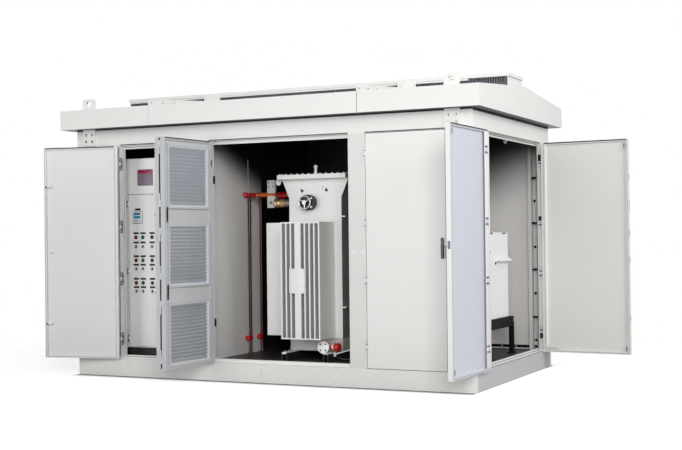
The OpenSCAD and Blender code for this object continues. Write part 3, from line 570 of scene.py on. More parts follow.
# %% Painted shade on the hinges
SHADOW_BAND_DZ, SHADOW_BAND_HALF = 0.024, 0.006
REAR_HINGE_SHADE_BANDS = ((0.303, 0.376), (1.560, 1.629), (2.187, 2.262))


def dull_shaded_left_hinges(tree, place, facing):
    """1 on the hinges at the left end."""
    return below(tree, place[0], -1.6)


def knuckle_shadow_bands(tree, place, facing):
    """1 in a thin band above and below the middle knuckle of every hinge."""
    bands = [0.001 * z + side for z in HINGE_Z for side in (-SHADOW_BAND_DZ, SHADOW_BAND_DZ)]
    return plus(tree, *[within(tree, place[2], z - SHADOW_BAND_HALF, z + SHADOW_BAND_HALF) for z in bands])


def shaded_rear_hinges(tree, place, facing):
    """1 on three bands of the hinges at the rear right corner."""
    at_corner = times(tree, above(tree, place[0], 2.1), above(tree, place[1], 0.8))
    return times(tree, at_corner, plus(tree, *[within(tree, place[2], low, high) for low, high in REAR_HINGE_SHADE_BANDS]))


# Painted shade: darker left hinges, shadows by the knuckles and dark bands on the rear hinges.
tint("hinge_paint", dull_shaded_left_hinges, (0.56, 0.56, 0.57))
tint("hinge_paint", knuckle_shadow_bands, (0.20, 0.20, 0.20))
tint("hinge_paint", shaded_rear_hinges, (0.08, 0.08, 0.08))
print(len(HINGE_Z), "hinges a leaf, with", 2 * len(HINGE_Z), "painted_shadows")

# %% [markdown]
# The underside of the roof is painted dark, for its primer and for the shade under the eave, and
# the eave's shadow is painted on the header under it, more so towards the left. The front end
# door's inner face has painted shade, darker and cooler, the rear one has a warmer coat, and the
# louvres have painted shade below each slat.

# %% Painted shade on the doors and under the eave
header_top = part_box("front_header")[1].z


def under_eave(tree, place, facing):
    """1 on the soffit."""
    return times(tree, faces_down(tree, place, facing), above(tree, place[2], 2.5))


def below_eave(tree, place, facing):
    """The eave's shade on the header: up to a half at its top, and more towards the left."""
    near_top = add(tree, "MapRange", Value=place[2], From_Min=header_top - 0.11, From_Max=header_top,
                   To_Max=0.5)
    to_left = add(tree, "MapRange", Value=place[0], From_Min=0.2, From_Max=-1.6, To_Min=0.35)
    return times(tree, near_top, to_left)


# The front end door's inner face gets painted shade, darker and cooler.
tint("blue_white_paint", faces_right, (0.79, 0.80, 0.84))
tint("warm_paint", faces_front, (0.87, 0.87, 0.85))
# The eave's shadow, painted on the header.
tint("header_paint", below_eave, (0.50, 0.50, 0.50))
# Painted shade under each slat of the louvres.
tint("louvre_paint", faces_down, (0.70, 0.71, 0.74))
# The roof's underside painted dark, for its primer and its shade.
tint("kiosk_paint", under_eave, PRIMER_AND_SHADE)
tint("header_paint", under_eave, PRIMER_AND_SHADE)
print("header reaches", round(header_top, 3), "m")

# %% [markdown]
# Some parts change colour along their length: the copper links have a red sleeve at one end,
# the rails are dark below and bright on top, and the drain's flange is white. A step in one
# coordinate picks the colour, so each stays one solid.

# %% Finishes in bands
SLEEVE_END, BUSHING_FROM, BUSHING_TO = 1660, 1882, 2000  # along the links
RAIL_TOP = 262
FLANGE_BACK = 484


def banded(name, axis, first, *steps, rough=0.35, **sockets):
    """Colours along one axis: first, and then each (millimetres, colour) from where it starts."""
    material, tree, shader, where = start_material(name, Roughness=rough, **sockets)
    along = "XYZ".index(axis)
    place = split(tree, where)[along]
    colour = shown(*first)
    for start, next_colour in steps:
        step = above(tree, place, float(start + skid_corner[along]) / 1000)
        colour = blend(tree, step, colour, shown(*next_colour))
    noise = add(tree, "TexNoise", Vector=where, Scale=45.0, Detail=3.0)
    tone = add(tree, "MapRange", Value=noise, To_Min=0.72, To_Max=1.2)
    toned = add(tree, "VectorMath", _set={"operation": "SCALE"}, Vector=colour, Scale=tone)
    tree.links.new(toned, shader.inputs["Base Color"])
    bump(tree, shader, noise, 0.12, 0.0006)
    finish[name] = material


banded("copper", "X", (0.72, 0.13, 0.10), (SLEEVE_END, (0.86, 0.44, 0.22)),
       (BUSHING_FROM, (0.86, 0.72, 0.52)), (BUSHING_TO, (0.66, 0.62, 0.60)), rough=0.28, Metallic=0.6)
banded("rail_steel", "Z", (0.13, 0.13, 0.13), (RAIL_TOP, (0.86, 0.87, 0.86)), rough=0.5)
banded("valve_red", "Y", (1.0, 1.0, 1.0), (FLANGE_BACK, (0.74, 0.13, 0.09)), rough=0.3)
print(len(finish), "finishes")

# %% [markdown]
# The floor of the rooms is dark steel tread plate. Its raised bars are a millimetre or two
# high and far too many for the mesh, so two crossed wave patterns give a height that a Bump
# node reads. From a few metres away nobody can tell the difference.

# %% Floor plate
def make_floor_plate():
    """Nearly black, patchy steel; height = bars along X times bars along Y."""
    material, tree, shader, where = start_material("floor_black")
    noise = add(tree, "TexNoise", Vector=where, Scale=6.0, Detail=5.0)
    steel = blend(tree, noise, shown(0.05, 0.05, 0.055), shown(0.20, 0.19, 0.185))
    tree.links.new(steel, shader.inputs["Base Color"])
    tree.links.new(add(tree, "MapRange", Value=noise, To_Min=0.3, To_Max=0.6), shader.inputs["Roughness"])
    bars = [add(tree, "TexWave", _out="Fac", _set={"bands_direction": axis}, Vector=where, Scale=9.0)
            for axis in "XY"]
    bump(tree, shader, times(tree, *bars), 0.5, 0.002)
    finish["floor_black"] = material


make_floor_plate()
print(len(finish), "finishes with the floor's")

# %% [markdown]
# Each CAD node names its material slot in the record, so one loop hands out the finishes.
# A few nodes stand in other light than their neighbours or came from another batch of paint,
# and have a finish of their own. A slot stays one material, because the nodes are kept whole.

# %% Finishes on the CAD nodes
own_finish = {
    "front_header": "header_paint", "front_posts": "post_paint", "base_end_beams": "beam_end_shade_paint",
    "lv_door": "lv_leaf_shade_paint", "tx_folding_leaves": "fold_shade_paint", "tx_fold_hinges": "fold_hinge_paint",
    "end_front_door": "blue_white_paint", "end_rear_door": "warm_paint", "end_front_lock": "lock_black",
    "door_hinges": "hinge_paint",
}
for part in frame["record"]["subparts"]:
    mesh = frame["nodes"][part["node"]].data
    mesh.materials.clear()
    mesh.materials.append(finish[own_finish.get(part["node"], part["material_slot"])])
print("finished", len(frame["nodes"]), "nodes")

# %% [markdown]
# Bolts, gaskets and instruments are small, and a substation has hundreds of them. They could
# be modelled by hand and duplicated, but here each one is a surface worked out with numpy. A
# shape is a pair: an array of points, and arrays of faces that hold point numbers. Lengths
# are millimetres until the shape is put in its place.

# %% Surfaces from rings of points
def skin(rings, loop=False):
    """Closes rings[i, j]: quads join ring i to ring i + 1, and a flat face closes each end.

    A loop has no ends, because its last ring joins its first.
    """
    count, around = rings.shape[:2]
    i, j = np.meshgrid(np.arange(count if loop else count - 1), np.arange(around), indexing="ij")
    here, beside, total = i * around + j, i * around + (j + 1) % around, count * around
    quads = np.stack([here, beside, (beside + around) % total, (here + around) % total], -1)
    faces = [quads.reshape(-1, 4)]
    if not loop:
        first = np.arange(around)[None, ::-1]
        faces += [first, first[:, ::-1] + total - around]
    return rings.reshape(-1, 3), faces


def rings_at(flat, heights):
    """Rings from flat[i, j], an array of X and Y, each lifted to its height."""
    return np.concatenate([flat, np.broadcast_to(heights[:, None, None], flat.shape[:2] + (1,))], -1)


def join(*shapes):
    """One shape from several: each one's point numbers start where the one before ended."""
    starts = np.cumsum([0] + [len(points) for points, _ in shapes])
    return (np.concatenate([points for points, _ in shapes]),
            [block + start for (_, faces), start in zip(shapes, starts) for block in faces])


def moved(shape, matrix):
    """The shape carried by a 4 x 4 matrix. A mirror image has its faces turned round."""
    points, faces = shape
    if np.linalg.det(matrix[:3, :3]) < 0:
        faces = [block[:, ::-1] for block in faces]
    return points @ matrix[:3, :3].T + matrix[:3, 3], faces


FRONT, BACK, LEFT, RIGHT = (0, -1, 0), (0, 1, 0), (-1, 0, 0), (1, 0, 0)
UP, DOWN = (0, 0, 1), (0, 0, -1)


def stand(shape, places, out, up=UP):
    """Copies of a shape at each place, its own Z turned to out and its own Y to up."""
    points, faces = shape
    axes = np.stack([np.cross(up, out), up, out], -1)
    places = np.atleast_2d(np.array(places, float))
    copies = places[:, None] + (points @ axes.T)[None]
    offsets = np.arange(len(places))[:, None, None] * len(points)
    return copies.reshape(-1, 3), [(block[None] + offsets).reshape(-1, block.shape[1]) for block in faces]


def grown(shape, factor):
    """The shape made larger by a factor."""
    return shape[0] * factor, shape[1]


print("two squares skinned make a box of", sum(len(b) for b in skin(np.zeros((2, 4, 3)))[1]), "faces")


# %% [markdown]
# Nearly every fitting is turned on a lathe or pressed from plate. A turned form could be made
# with the Screw modifier and a plate with Bevel, but both are a stack of rings, so `skin`
# closes them alike and the rounded edges need only a few faces.

# %% Turned and pressed forms
def circle(sides):
    """Points at equal turns round a circle of radius 1."""
    turn = np.linspace(0, 2 * math.pi, sides, endpoint=False)
    return np.stack([np.cos(turn), np.sin(turn)], -1)


def lathe(profile, sides=24):
    """A turned form: each (radius, height) of the profile is carried round the Z axis."""
    radius, height = np.array(profile, float).T
    return skin(rings_at(circle(sides)[None] * radius[:, None, None], height))


def outline(width, height, corner, steps=4):
    """A rectangle round the origin, anticlockwise, with a quarter circle of steps points at each corner."""
    turn = np.linspace(0, math.pi / 2, steps)[None] + np.arange(4)[:, None] * math.pi / 2
    quadrant = np.array([(1, 1), (-1, 1), (-1, -1), (1, -1)])[:, None]
    corner = min(corner, width / 2, height / 2)
    half = np.array([width / 2, height / 2]) - corner
    return (quadrant * half + corner * np.stack([np.cos(turn), np.sin(turn)], -1)).reshape(-1, 2)


def pad(width, height, depth, corner=3.0, edge=1.0, steps=4):
    """A pressed plate on its back, with round corners and a front edge rounded by edge."""
    flat = outline(width, height, corner, steps)
    ease = np.linspace(0, math.pi / 2, 3)
    inset = np.r_[0, edge * (1 - np.cos(ease))]
    level = np.r_[0, depth - edge + edge * np.sin(ease)]
    return skin(rings_at(flat[None] * (1 - 2 * inset[:, None] / np.array([width, height]))[:, None], level))


print("a turned washer has", len(lathe([(1, 0), (1, 1)], 12)[0]), "points")

# %% [markdown]
# Bars, hoses and seals are bent from round stock: a circle carried along a path. A curve with
# a bevel depth would give the same form, but these arrays are a mesh from the start and are
# closed at their ends. A hoop and a seal are paths that join up with themselves.

# %% Bent bars and seals
def tube(path, radius, sides=8, beside=UP, loop=False):
    """A bent round bar: a circle carried along a path and held square to it.

    The circle's first axis is square to the path and to beside, which is never along the path.
    """
    path = np.array(path, float)
    ahead = np.roll(path, -1, 0) - np.roll(path, 1, 0) if loop else np.gradient(path, axis=0)
    ahead /= np.linalg.norm(ahead, axis=1)[:, None]
    side = np.cross(ahead, np.array(beside, float))
    side /= np.linalg.norm(side, axis=1)[:, None]
    ring = circle(sides)
    section = side[:, None] * ring[None, :, :1] + np.cross(ahead, side)[:, None] * ring[None, :, 1:]
    return skin(path[:, None] + np.broadcast_to(radius, len(path))[:, None, None] * section, loop)


def bar(start, end, radius, sides=12):
    """A straight round bar with eased ends."""
    start, end = np.array(start, float), np.array(end, float)
    along = (end - start) / np.linalg.norm(end - start)
    ease = 0.2 * radius * along
    beside = UP if abs(along[2]) < 0.9 else RIGHT
    radii = radius * np.array([0.8, 1, 1, 0.8])
    return tube([start, start + ease, end - ease, end], radii, sides, beside)


def hoop(radius, thick, around=32, sides=8):
    """A ring of round bar that lies flat."""
    path = circle(around) * radius
    return tube(np.c_[path, np.zeros(around)], thick, sides, loop=True)


def seal(x0, z0, x1, z1, y, radius, corner=14.0):
    """A round rubber seal along a rectangle of an upright face."""
    path = outline(x1 - x0, z1 - z0, corner, 5) + [(x0 + x1) / 2, (z0 + z1) / 2]
    return tube(np.c_[path[:, 0], np.full(len(path), y), path[:, 1]], radius, 6, BACK, loop=True)


print("a hoop has", len(hoop(10, 1)[0]), "points")

# %% [markdown]
# Screws and bolts are turned profiles too: a hexagon head is a lathe shape with six sides.
# Threads would be hidden, so only heads are made, and as a substation has hundreds of them,
# each has only a few dozen faces.

# %% Bolts, screws and knobs
def bolt(radius):
    """A hexagon head on a round washer."""
    washer = lathe([(1.7, 0), (1.7, 0.2), (1.6, 0.3)], 12)
    return grown(join(washer, lathe([(1.15, 0.2), (1.15, 1.2), (0.95, 1.4)], 6)), radius)


def screw(radius):
    """A low round head with a recess for the driver."""
    return grown(lathe([(1, 0), (0.95, 0.3), (0.6, 0.5), (0.35, 0.5), (0.3, 0.15)], 12), radius)


def ball(radius, flat=0.12):
    """A turned knob, closed by a small flat at each pole."""
    turn = np.linspace(flat, math.pi - flat, 13)
    return lathe(np.c_[radius * np.sin(turn), -radius * np.cos(turn)], 24)


print("a bolt has", sum(len(b) for b in bolt(10)[1]), "faces")


# %% [markdown]
# A door leaf has its own axes: X runs along it from the hinges, Y goes into the room and Z is
# up. Its matrix turns it about the hinge pin, which stands a little in front of the wall. A
# fitting on a leaf is placed on those axes, so it stays right however far the door is open.
# Parenting an empty to each door would do the same, but the finished mesh has to hold its
# own place, so the matrix is applied to the points.

# %% Places of the leaves
def shift(x=0.0, y=0.0, z=0.0):
    """The matrix of a move."""
    matrix = np.eye(4)
    matrix[:3, 3] = x, y, z
    return matrix


def about_z(degrees):
    """The matrix of a turn about the upright axis, anticlockwise from above."""
    turn, matrix = math.radians(degrees), np.eye(4)
    matrix[:2, :2] = [[math.cos(turn), -math.sin(turn)], [math.sin(turn), math.cos(turn)]]
    return matrix


PIN_OUT = 9.0  # from the face of a closed leaf to the axis of its hinges
INNER = 45.0  # the inner face of a leaf
STOP = 51.0  # the face of the stops that it closes against
STOP_SIDE = 15.0  # how far a stop reaches into its doorway
KIOSK = np.diag([0.001, 0.001, 0.001, 1.0])
KIOSK[:3, 3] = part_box("base_side_beams")[0]


def leaf(x, y, turn, swing, mirrored=False):
    """The matrix of a leaf hung at (x, y), seen from that side of the kiosk, and swung open."""
    flip = np.diag([-1.0 if mirrored else 1.0, 1.0, 1.0, 1.0])
    return KIOSK @ shift(x, y) @ about_z(turn) @ flip @ shift(y=-PIN_OUT) @ about_z(-swing) @ shift(y=PIN_OUT)


front_posts, corner_post = box_mm("front_posts"), box_mm("front_corner_post")
LV_DOORWAY = (box_mm("front_left_panel")[1][0] - STOP_SIDE, front_posts[0][0] + STOP_SIDE)
TX_DOORWAY = (1625, 3160)
HV_DOORWAY = (front_posts[1][0] - STOP_SIDE, corner_post[0][0] + STOP_SIDE)
END_DOORWAY = (corner_post[1][1] - STOP_SIDE, box_mm("rear_corner_post")[0][1])
END_LEAF_W, FOLD_LEAF_W = 938, 767

LV_LEAF, HV_LEAF = leaf(LV_DOORWAY[0], 0, 0, 168), leaf(HV_DOORWAY[0], 0, 0, 0)
END_FRONT = leaf(BODY_L, END_DOORWAY[0], 90, 181.5)
END_REAR = leaf(BODY_L, END_DOORWAY[1], 90, 86, mirrored=True)
FOLD_INNER = leaf(TX_DOORWAY[0], 0, 0, 94.5)
FOLD_OUTER = FOLD_INNER @ shift(y=-20) @ np.diag([1.0, -1.0, 1.0, 1.0])
print("doorways", LV_DOORWAY, TX_DOORWAY, HV_DOORWAY, "and", END_DOORWAY, "in the end")

# %% [markdown]
# One function turns a shape into an object. Its place goes into the mesh, so the object sits
# at the origin like a CAD node, and it rides on the body that it is fixed to. Faces that meet
# at less than 38 degrees are shaded as one smooth surface, and sharper edges stay crisp.

# %% From shape to object
triangles = {}


def piece(name, shape, look, body="kiosk", place=KIOSK):
    """Makes one object of the shape, with a finish, on a body."""
    points, faces = moved(shape, place)
    mesh = bpy.data.meshes.new(name)
    mesh.from_pydata(points.tolist(), [], [face for block in faces for face in block.tolist()])
    mesh.shade_smooth()
    mesh.set_sharp_from_angle(angle=math.radians(38))
    mesh.materials.append(finish[look])
    made = bpy.data.objects.new(name, mesh)
    bpy.context.scene.collection.objects.link(made)
    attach(made, body)
    triangles[name] = sum(len(block) * (block.shape[1] - 2) for block in faces)


def tell(what):
    """Prints the number of pieces and triangles up to here."""
    print(what + ":", len(triangles), "pieces with", sum(triangles.values()), "triangles so far")


tell("before the first piece")

# %% [markdown]
# The roof sections are bolted together through upright flanges, and each lifting plate is
# held by four bolts. All of them repeat at the rear, so `both_sides` sets each shape twice,
# back to back. The joints of the roof's edge are narrow cover strips.

# %% Bolts and joints of the roof
def both_sides(shape, xz, front, rear):
    """Copies at the front and at the rear of the kiosk, each looking outwards."""
    return join(stand(shape, [(x, front, z) for x, z in xz], FRONT),
                stand(shape, [(x, rear, z) for x, z in xz], BACK))


lugs_low, lugs_high = box_mm("lifting_lugs")
lug_xz = [(x + dx, z) for x in (164, 4209) for dx in (-39, 39) for z in (2437, 2505)]
piece("lug_bolts", both_sides(bolt(10), lug_xz, lugs_low[1], lugs_high[1]), "bolt_zinc")

roof_low, roof_high = box_mm("roof_middle")
SEAMS = (roof_low[0], roof_high[0])
EAVE_TOP, ROOF_SLOPE, SEAM_BOLT_UP = 2760, 0.08, 30
from_eave = np.linspace(40, 1070, 6)
front_y, seam_z = roof_low[1] + from_eave, EAVE_TOP + ROOF_SLOPE * from_eave + SEAM_BOLT_UP
seam_yz = [*zip(front_y, seam_z), *zip(BODY_W - front_y, seam_z)]
seam_bolts = [stand(bolt(7), [(x + dx, y, z) for x in SEAMS for y, z in seam_yz], out)
              for dx, out in ((-4, LEFT), (4, RIGHT))]
piece("roof_seam_bolts", join(*seam_bolts), "kiosk_paint")

FASCIA_Z, FASCIA_SUNK = 2660, 1.2
fascia_joint = pad(5, 194, 1, 2, 0.4)
piece("fascia_joint_left", stand(fascia_joint, [(SEAMS[0], roof_low[1], FASCIA_Z)], FRONT), "fold_shade_paint")
piece("fascia_joints", stand(fascia_joint, [(SEAMS[1], roof_low[1], FASCIA_Z)], FRONT), "vent_dark")
rear_joints = [(x, roof_high[1] - FASCIA_SUNK, FASCIA_Z) for x in SEAMS]
piece("fascia_joints_rear", stand(fascia_joint, rear_joints, BACK), "vent_dark")
tell("roof")

# %% [markdown]
# The slots of the ridge ventilator have a grating of upright bars behind them, which keeps
# birds and leaves out, and a lip of folded sheet above them. Array modifiers could repeat a
# bar, but a list of places is shorter and skips the mullions between the windows by itself.

# %% Ventilator
WINDOWS, BARS_IN_WINDOW, MULLION, BARS_IN = 12, 14, 20, 12
window_pitch = BODY_L / WINDOWS
bar_x = [MULLION / 2 + window * window_pitch + (k + 0.5) * (window_pitch - MULLION) / BARS_IN_WINDOW
         for window in range(WINDOWS) for k in range(BARS_IN_WINDOW)]
vent_front, vent_rear = (corner[1] for corner in box_mm("vent_grilles"))
vent_bars = both_sides(pad(8, 52, 5, 0.5, 1.5, steps=1), [(x, 2922) for x in bar_x],
                       vent_front + BARS_IN, vent_rear - BARS_IN)
piece("vent_bars", vent_bars, "display_grey")
piece("vent_lips", both_sides(pad(4020, 27, 3, 1, 1), [(2000, 2948)], vent_front, vent_rear), "kiosk_paint")
print(2 * len(bar_x), "bars in the ventilator")

# %% [markdown]
# Where the walls meet the roof, and where a doorway meets the header, a thin black strip stands
# for the shadow there. A dark band in the paint would do from afar, but the strip also stands out
# from the sheet, so each is a thin pressed plate.

# %% Shadow strips under the eaves and over the doorways
FRONT_STRIP, END_STRIP = 12, 20  # the heights of the strips
side_strip = pad(BODY_L - 4, FRONT_STRIP, 2, 2, 0.5)
end_strip = pad(BODY_W - 4, END_STRIP, 2, 2, 0.5)
eave_shadow_strips = join(both_sides(side_strip, [(BODY_L / 2, WALL_TOP - FRONT_STRIP / 2)], 0, BODY_W),
                   stand(end_strip, [(BODY_L, BODY_W / 2, WALL_TOP - END_STRIP / 2)], RIGHT),
                   stand(end_strip, [(0, BODY_W / 2, WALL_TOP - END_STRIP / 2)], LEFT))
piece("eave_shadow_strips", eave_shadow_strips, "gasket")

# Dark strips over the doorways stand for the shadow under their heads.
HEAD_SHADOW_Z = 2387
head_shadows = [stand(pad(x1 - x0, 9, 2, 2, 0.5), [((x0 + x1) / 2, 0, HEAD_SHADOW_Z)], FRONT)
         for x0, x1 in (LV_DOORWAY, TX_DOORWAY, HV_DOORWAY)]
piece("doorway_shadow_strips", join(*head_shadows), "gasket")
tell("strips")

# %% [markdown]
# The front has small screwed plates at the height of the locks, and the weld that joins the
# two halves of the long front beam. A weld bead is a row of overlapping drops, so its path
# zigzags a little under a round section. The keepers stand in the middle doorway, where the
# folding leaves would close.

# %% Front fittings
def four(x, y, z, dx, dz):
    """The corners of a rectangle on an upright face that looks to the front or back."""
    return [(x + i * dx, y, z + k * dz) for i in (-1, 1) for k in (-1, 1)]


PLATE_Z = 1265
POST_PLATES = ((3205, 16, 20), (3303, 27, 20))  # each one's middle and the half sizes inside its rim
post_plates = [stand(pad(2 * w + 10, 2 * h + 10, 1.5, 3, 0.7), [(x, 0, PLATE_Z)], FRONT)
               for x, w, h in POST_PLATES]
plate_screws = [stand(screw(4.5), four(x, -1.5, PLATE_Z, w - 3, h - 3), FRONT) for x, w, h in POST_PLATES]
piece("post_plates", join(*post_plates), "kiosk_paint")
piece("post_screws", join(*plate_screws), "rail_steel")
bead = [(2197 + 0.8 * (-1) ** k, -0.5, z) for k, z in enumerate(range(5, 178, 6))]
piece("beam_weld", tube(bead, 2.2, 6, RIGHT), "kiosk_paint")

KEEPER_Z = (1994, 573)
keepers = stand(pad(18, 80, 14, 3, 1.5), [(1640, 60, z) for z in KEEPER_Z], RIGHT)
piece("fold_keepers", keepers, "lock_black")
keeper_screws = [(1654, 60, z + dz) for z in KEEPER_Z for dz in (-26, 26)]
piece("fold_keeper_screws", stand(screw(4), keeper_screws, RIGHT), "bolt_zinc")
tell("front")

# %% [markdown]
# Every leaf has a seal round its inner face, bolts through its hinges and screws in their
# plates, and a dark strip under its top border that stands for the shadow there. They could be
# made once and instanced, but each leaf is another body with another width, so one function
# fits them all out from the width.

# %% Seals and hinge bolts of the leaves
SEAL_FOOT, SEAL_HEAD, LEAF_MID = 199, 2361, 1281


def leaf_fittings(name, width, body, place, plates=True):
    """The seal, a dark strip of painted shadow at the top, the hinge bolts and plate screws of a leaf."""
    ring = seal(34, SEAL_FOOT, width - 16, SEAL_HEAD, INNER, 2.5)
    piece(name + "_seal", ring, "seal_rubber", body, place)
    # A dark strip under the top border: painted shadow.
    lip = stand(pad(width - 60, 9, 3, 2, 1), [(width / 2 + 10, INNER, 2368)], BACK)
    piece(name + "_top_shadow_strip", lip, "gasket", body, place)
    through = [(x, INNER, z + dz) for x in (14, 28) for z in HINGE_Z for dz in (-24, 24)]
    piece(name + "_hinge_bolts", stand(screw(4.5), through, BACK), "rail_steel", body, place)
    if plates:
        edge = [(4, y, z + dz) for y in (10, 28) for z in HINGE_Z for dz in (-50, 50)]
        piece(name + "_plate_screws", stand(screw(3.2), edge, LEFT), "bolt_zinc", body, place)


leaf_fittings("lv_leaf", LV_DOORWAY[1] - LV_DOORWAY[0], "lv_door", LV_LEAF)
leaf_fittings("hv_leaf", HV_DOORWAY[1] - HV_DOORWAY[0], "hv_front_door", HV_LEAF)
leaf_fittings("end_front_leaf", END_LEAF_W, "end_front_door", END_FRONT)
leaf_fittings("end_rear_leaf", END_LEAF_W, "end_rear_door", END_REAR)
leaf_fittings("fold_inner_leaf", FOLD_LEAF_W, "kiosk", FOLD_INNER)
leaf_fittings("fold_outer_leaf", FOLD_LEAF_W, "kiosk", FOLD_OUTER, plates=False)
tell("six leaves")

# %% [markdown]
# Each doorway has its own black seal on the stops that the leaves close against, and its dark
# line also stands for the shadow in the joint round the leaf. It runs a little outside the
# leaf's own seal, so that rain has to pass both. The end wall is the front wall turned a
# quarter, so its seal is drawn flat and turned.

# %% Seals of the doorways
def frame_seal(x0, x1):
    """A seal on the stops of a doorway from x0 to x1."""
    return seal(x0 + 8, SEAL_FOOT - 1, x1 - 8, SEAL_HEAD + 1, STOP, 2.5)


piece("front_frame_seals", join(frame_seal(*LV_DOORWAY), frame_seal(*HV_DOORWAY)), "gasket")
end_wall = KIOSK @ shift(BODY_L, END_DOORWAY[0]) @ about_z(90)
piece("end_frame_seal", frame_seal(0, END_DOORWAY[1] - END_DOORWAY[0]), "gasket", place=end_wall)
tell("doorways")

# %% [markdown]
# The rod locks of the doors: guides, latches and rollers on the inner face of the
# low-voltage leaf. They are small next to the leaf, so plain pads and bars with screws read
# well enough.

# %% Latches of the low-voltage leaf
LATCH_Z = (1966, 538)
latch = join(pad(58, 24, 4, 3, 1), bar((-44, 0, 8), (34, 0, 8), 4.5),
             stand(screw(4), [(-16, 6, 4), (16, -6, 4)], UP, BACK))
roller = lathe([(6, 0), (9, 2), (9, 12), (6, 14)], 16)
on_lv_leaf = {"body": "lv_door", "place": LV_LEAF}
latches = stand(latch, [(780, INNER, z) for z in LATCH_Z], BACK)
rollers = stand(roller, [(807, INNER, z) for z in LATCH_Z], BACK)
lock_screws = stand(screw(5), [(x, INNER, 1277) for x in (739, 765)], BACK)
# A dark strip along the hinge edge stands for the shadow in the gap beside the post.
hinge_gap_shadow = stand(pad(8, 2150, 1.5, 2, 0.4), [(4, 8, LEAF_MID)], LEFT)
piece("lv_leaf_latches", latches, "rail_steel", **on_lv_leaf)
piece("lv_latch_rollers", rollers, "lock_black", **on_lv_leaf)
piece("lv_lock_screws", lock_screws, "lock_black", **on_lv_leaf)
piece("lv_edge_strip", hinge_gap_shadow, "gasket", **on_lv_leaf)
tell("low-voltage leaf")

# %% [markdown]
# The folding leaves have flat handles, so that they can fold back to back, and two hooks that
# hold them together when they stand open. Both leaves share their heights, so one loop makes
# the handles of both.

# %% Handles of the folding leaves
HANDLE_X, HANDLE_Z = 721, (1641, 909)
handle_screws = [(HANDLE_X, INNER + 2.5, z + dz) for z in HANDLE_Z for dz in (-50, 50)]
for name, place in (("fold_inner", FOLD_INNER), ("fold_outer", FOLD_OUTER)):
    handles = stand(pad(22, 140, 2.5, 4, 1), [(HANDLE_X, INNER, z) for z in HANDLE_Z], BACK)
    piece(name + "_handles", handles, "lock_black", place=place)
    piece(name + "_handle_screws", stand(screw(4), handle_screws, BACK), "bolt_zinc", place=place)
    top_catch = stand(pad(16, 58, 4, 3, 1), [(28, INNER, 2155)], BACK)
    piece(name + "_top_catch", top_catch, "lock_black", place=place)

HOOK_X, HOOK_Z = 700, (1645, 905)
hooks = [tube([(HOOK_X, INNER + 4, z), (HOOK_X, INNER + 30, z), (HOOK_X, INNER + 62, z - 5)], 4, 8)
         for z in HOOK_Z]
hook_plates = stand(pad(24, 24, 5, 6, 1.5), [(HOOK_X, INNER, z) for z in HOOK_Z], BACK)
piece("fold_hooks", join(*hooks, hook_plates), "lock_black", place=FOLD_OUTER)
gap_strip = stand(pad(19, 2164, 3, 2, 0.5), [(759, -10, LEAF_MID)], RIGHT)
piece("fold_gap_strip", gap_strip, "gasket", place=FOLD_INNER)
tell("folding leaves")

# %% [markdown]
# The end doors meet in the middle. The front leaf carries the lock, rods end at the top and
# the bottom of both leaves, and the rear leaf's edge has the plates that the bolts enter. The
# rod ends are alike, so one shape goes on both leaves and takes each leaf's place.

# %% Locks of the end doors
on_end_front = {"body": "end_front_door", "place": END_FRONT}
on_end_rear = {"body": "end_rear_door", "place": END_REAR}
rod_end = join(pad(26, 40, 5, 4, 1.5), bar((0, -26, 8), (0, 26, 8), 5))
rod_ends = stand(rod_end, [(900, INNER, 2306), (900, INNER, 254)], BACK)
piece("end_front_rod_ends", rod_ends, "seal_rubber", **on_end_front)
piece("end_rear_rod_ends", rod_ends, "seal_rubber", **on_end_rear)

rosette = lathe([(12, 0), (12, 1.8), (9, 2.4), (5, 2.4), (4, 1.6)], 20)
lock_case = join(stand(pad(26, 70, 1.2, 8, 0.4), [(932, 24, 1337)], RIGHT),
                 stand(rosette, [(933, 24, 1350)], RIGHT))
piece("end_lock_case", lock_case, "display_grey", **on_end_front)
STRIKES = ((1984, 60), (1700, 90), (1418, 70), (1146, 60), (560, 60))  # each one's middle and length
strikes = [stand(pad(16, length, 2, 2, 0.7), [(930.8, 24, z)], RIGHT) for z, length in STRIKES]
piece("end_rear_edge_strikes", join(*strikes), "vent_dark", **on_end_rear)
foot_bar = join(stand(pad(176, 22, 6, 4, 1.5), [(100, INNER, 238)], BACK),
                stand(screw(5), [(x, INNER + 6, 238) for x in (30, 170)], BACK))
piece("end_rear_foot_bar", foot_bar, "hinge_paint", **on_end_rear)
tell("locks of the end")

# %% [markdown]
# The front leaf of the end has a bright band along its hinge side, with a bolted plate at
# each hinge. The header has the catch for the rods, and the sill a ring-shaped keeper. Both
# are placed so that the leaves still close clear of them.

# %% Hinge band and keepers of the end doors
BAND_X, BAND_PLATE_X = 64, 84
band = stand(pad(118, 2140, 2, 3, 0.8), [(BAND_X, INNER, LEAF_MID)], BACK)
piece("end_front_hinge_band", band, "kiosk_paint", **on_end_front)
plates = stand(pad(64, 88, 3, 4, 1), [(BAND_PLATE_X, INNER + 2, z) for z in HINGE_Z], BACK)
piece("end_front_hinge_plates", plates, "hinge_paint", **on_end_front)
plate_bolts = [place for z in HINGE_Z for place in four(BAND_PLATE_X, INNER + 5, z, 20, 30)]
piece("end_front_plate_bolts", stand(screw(8), plate_bolts, BACK), "vent_dark", **on_end_front)

end_catch = join(stand(pad(34, 60, 14, 4, 2), [(4322, 1160, box_mm("end_header")[0][2])], DOWN, BACK),
                 bar((4322, 1120, 2322), (4322, 1180, 2316), 6))
piece("end_header_catch", end_catch, "hinge_steel")
keeper = join(stand(pad(60, 44, 4, 4, 1.2), [(4262, 800, FLOOR)], UP, BACK),
              moved(hoop(17, 5, 24), shift(4262, 800, FLOOR + 8)))
piece("sill_keeper", keeper, "lock_black")
tell("end doors")

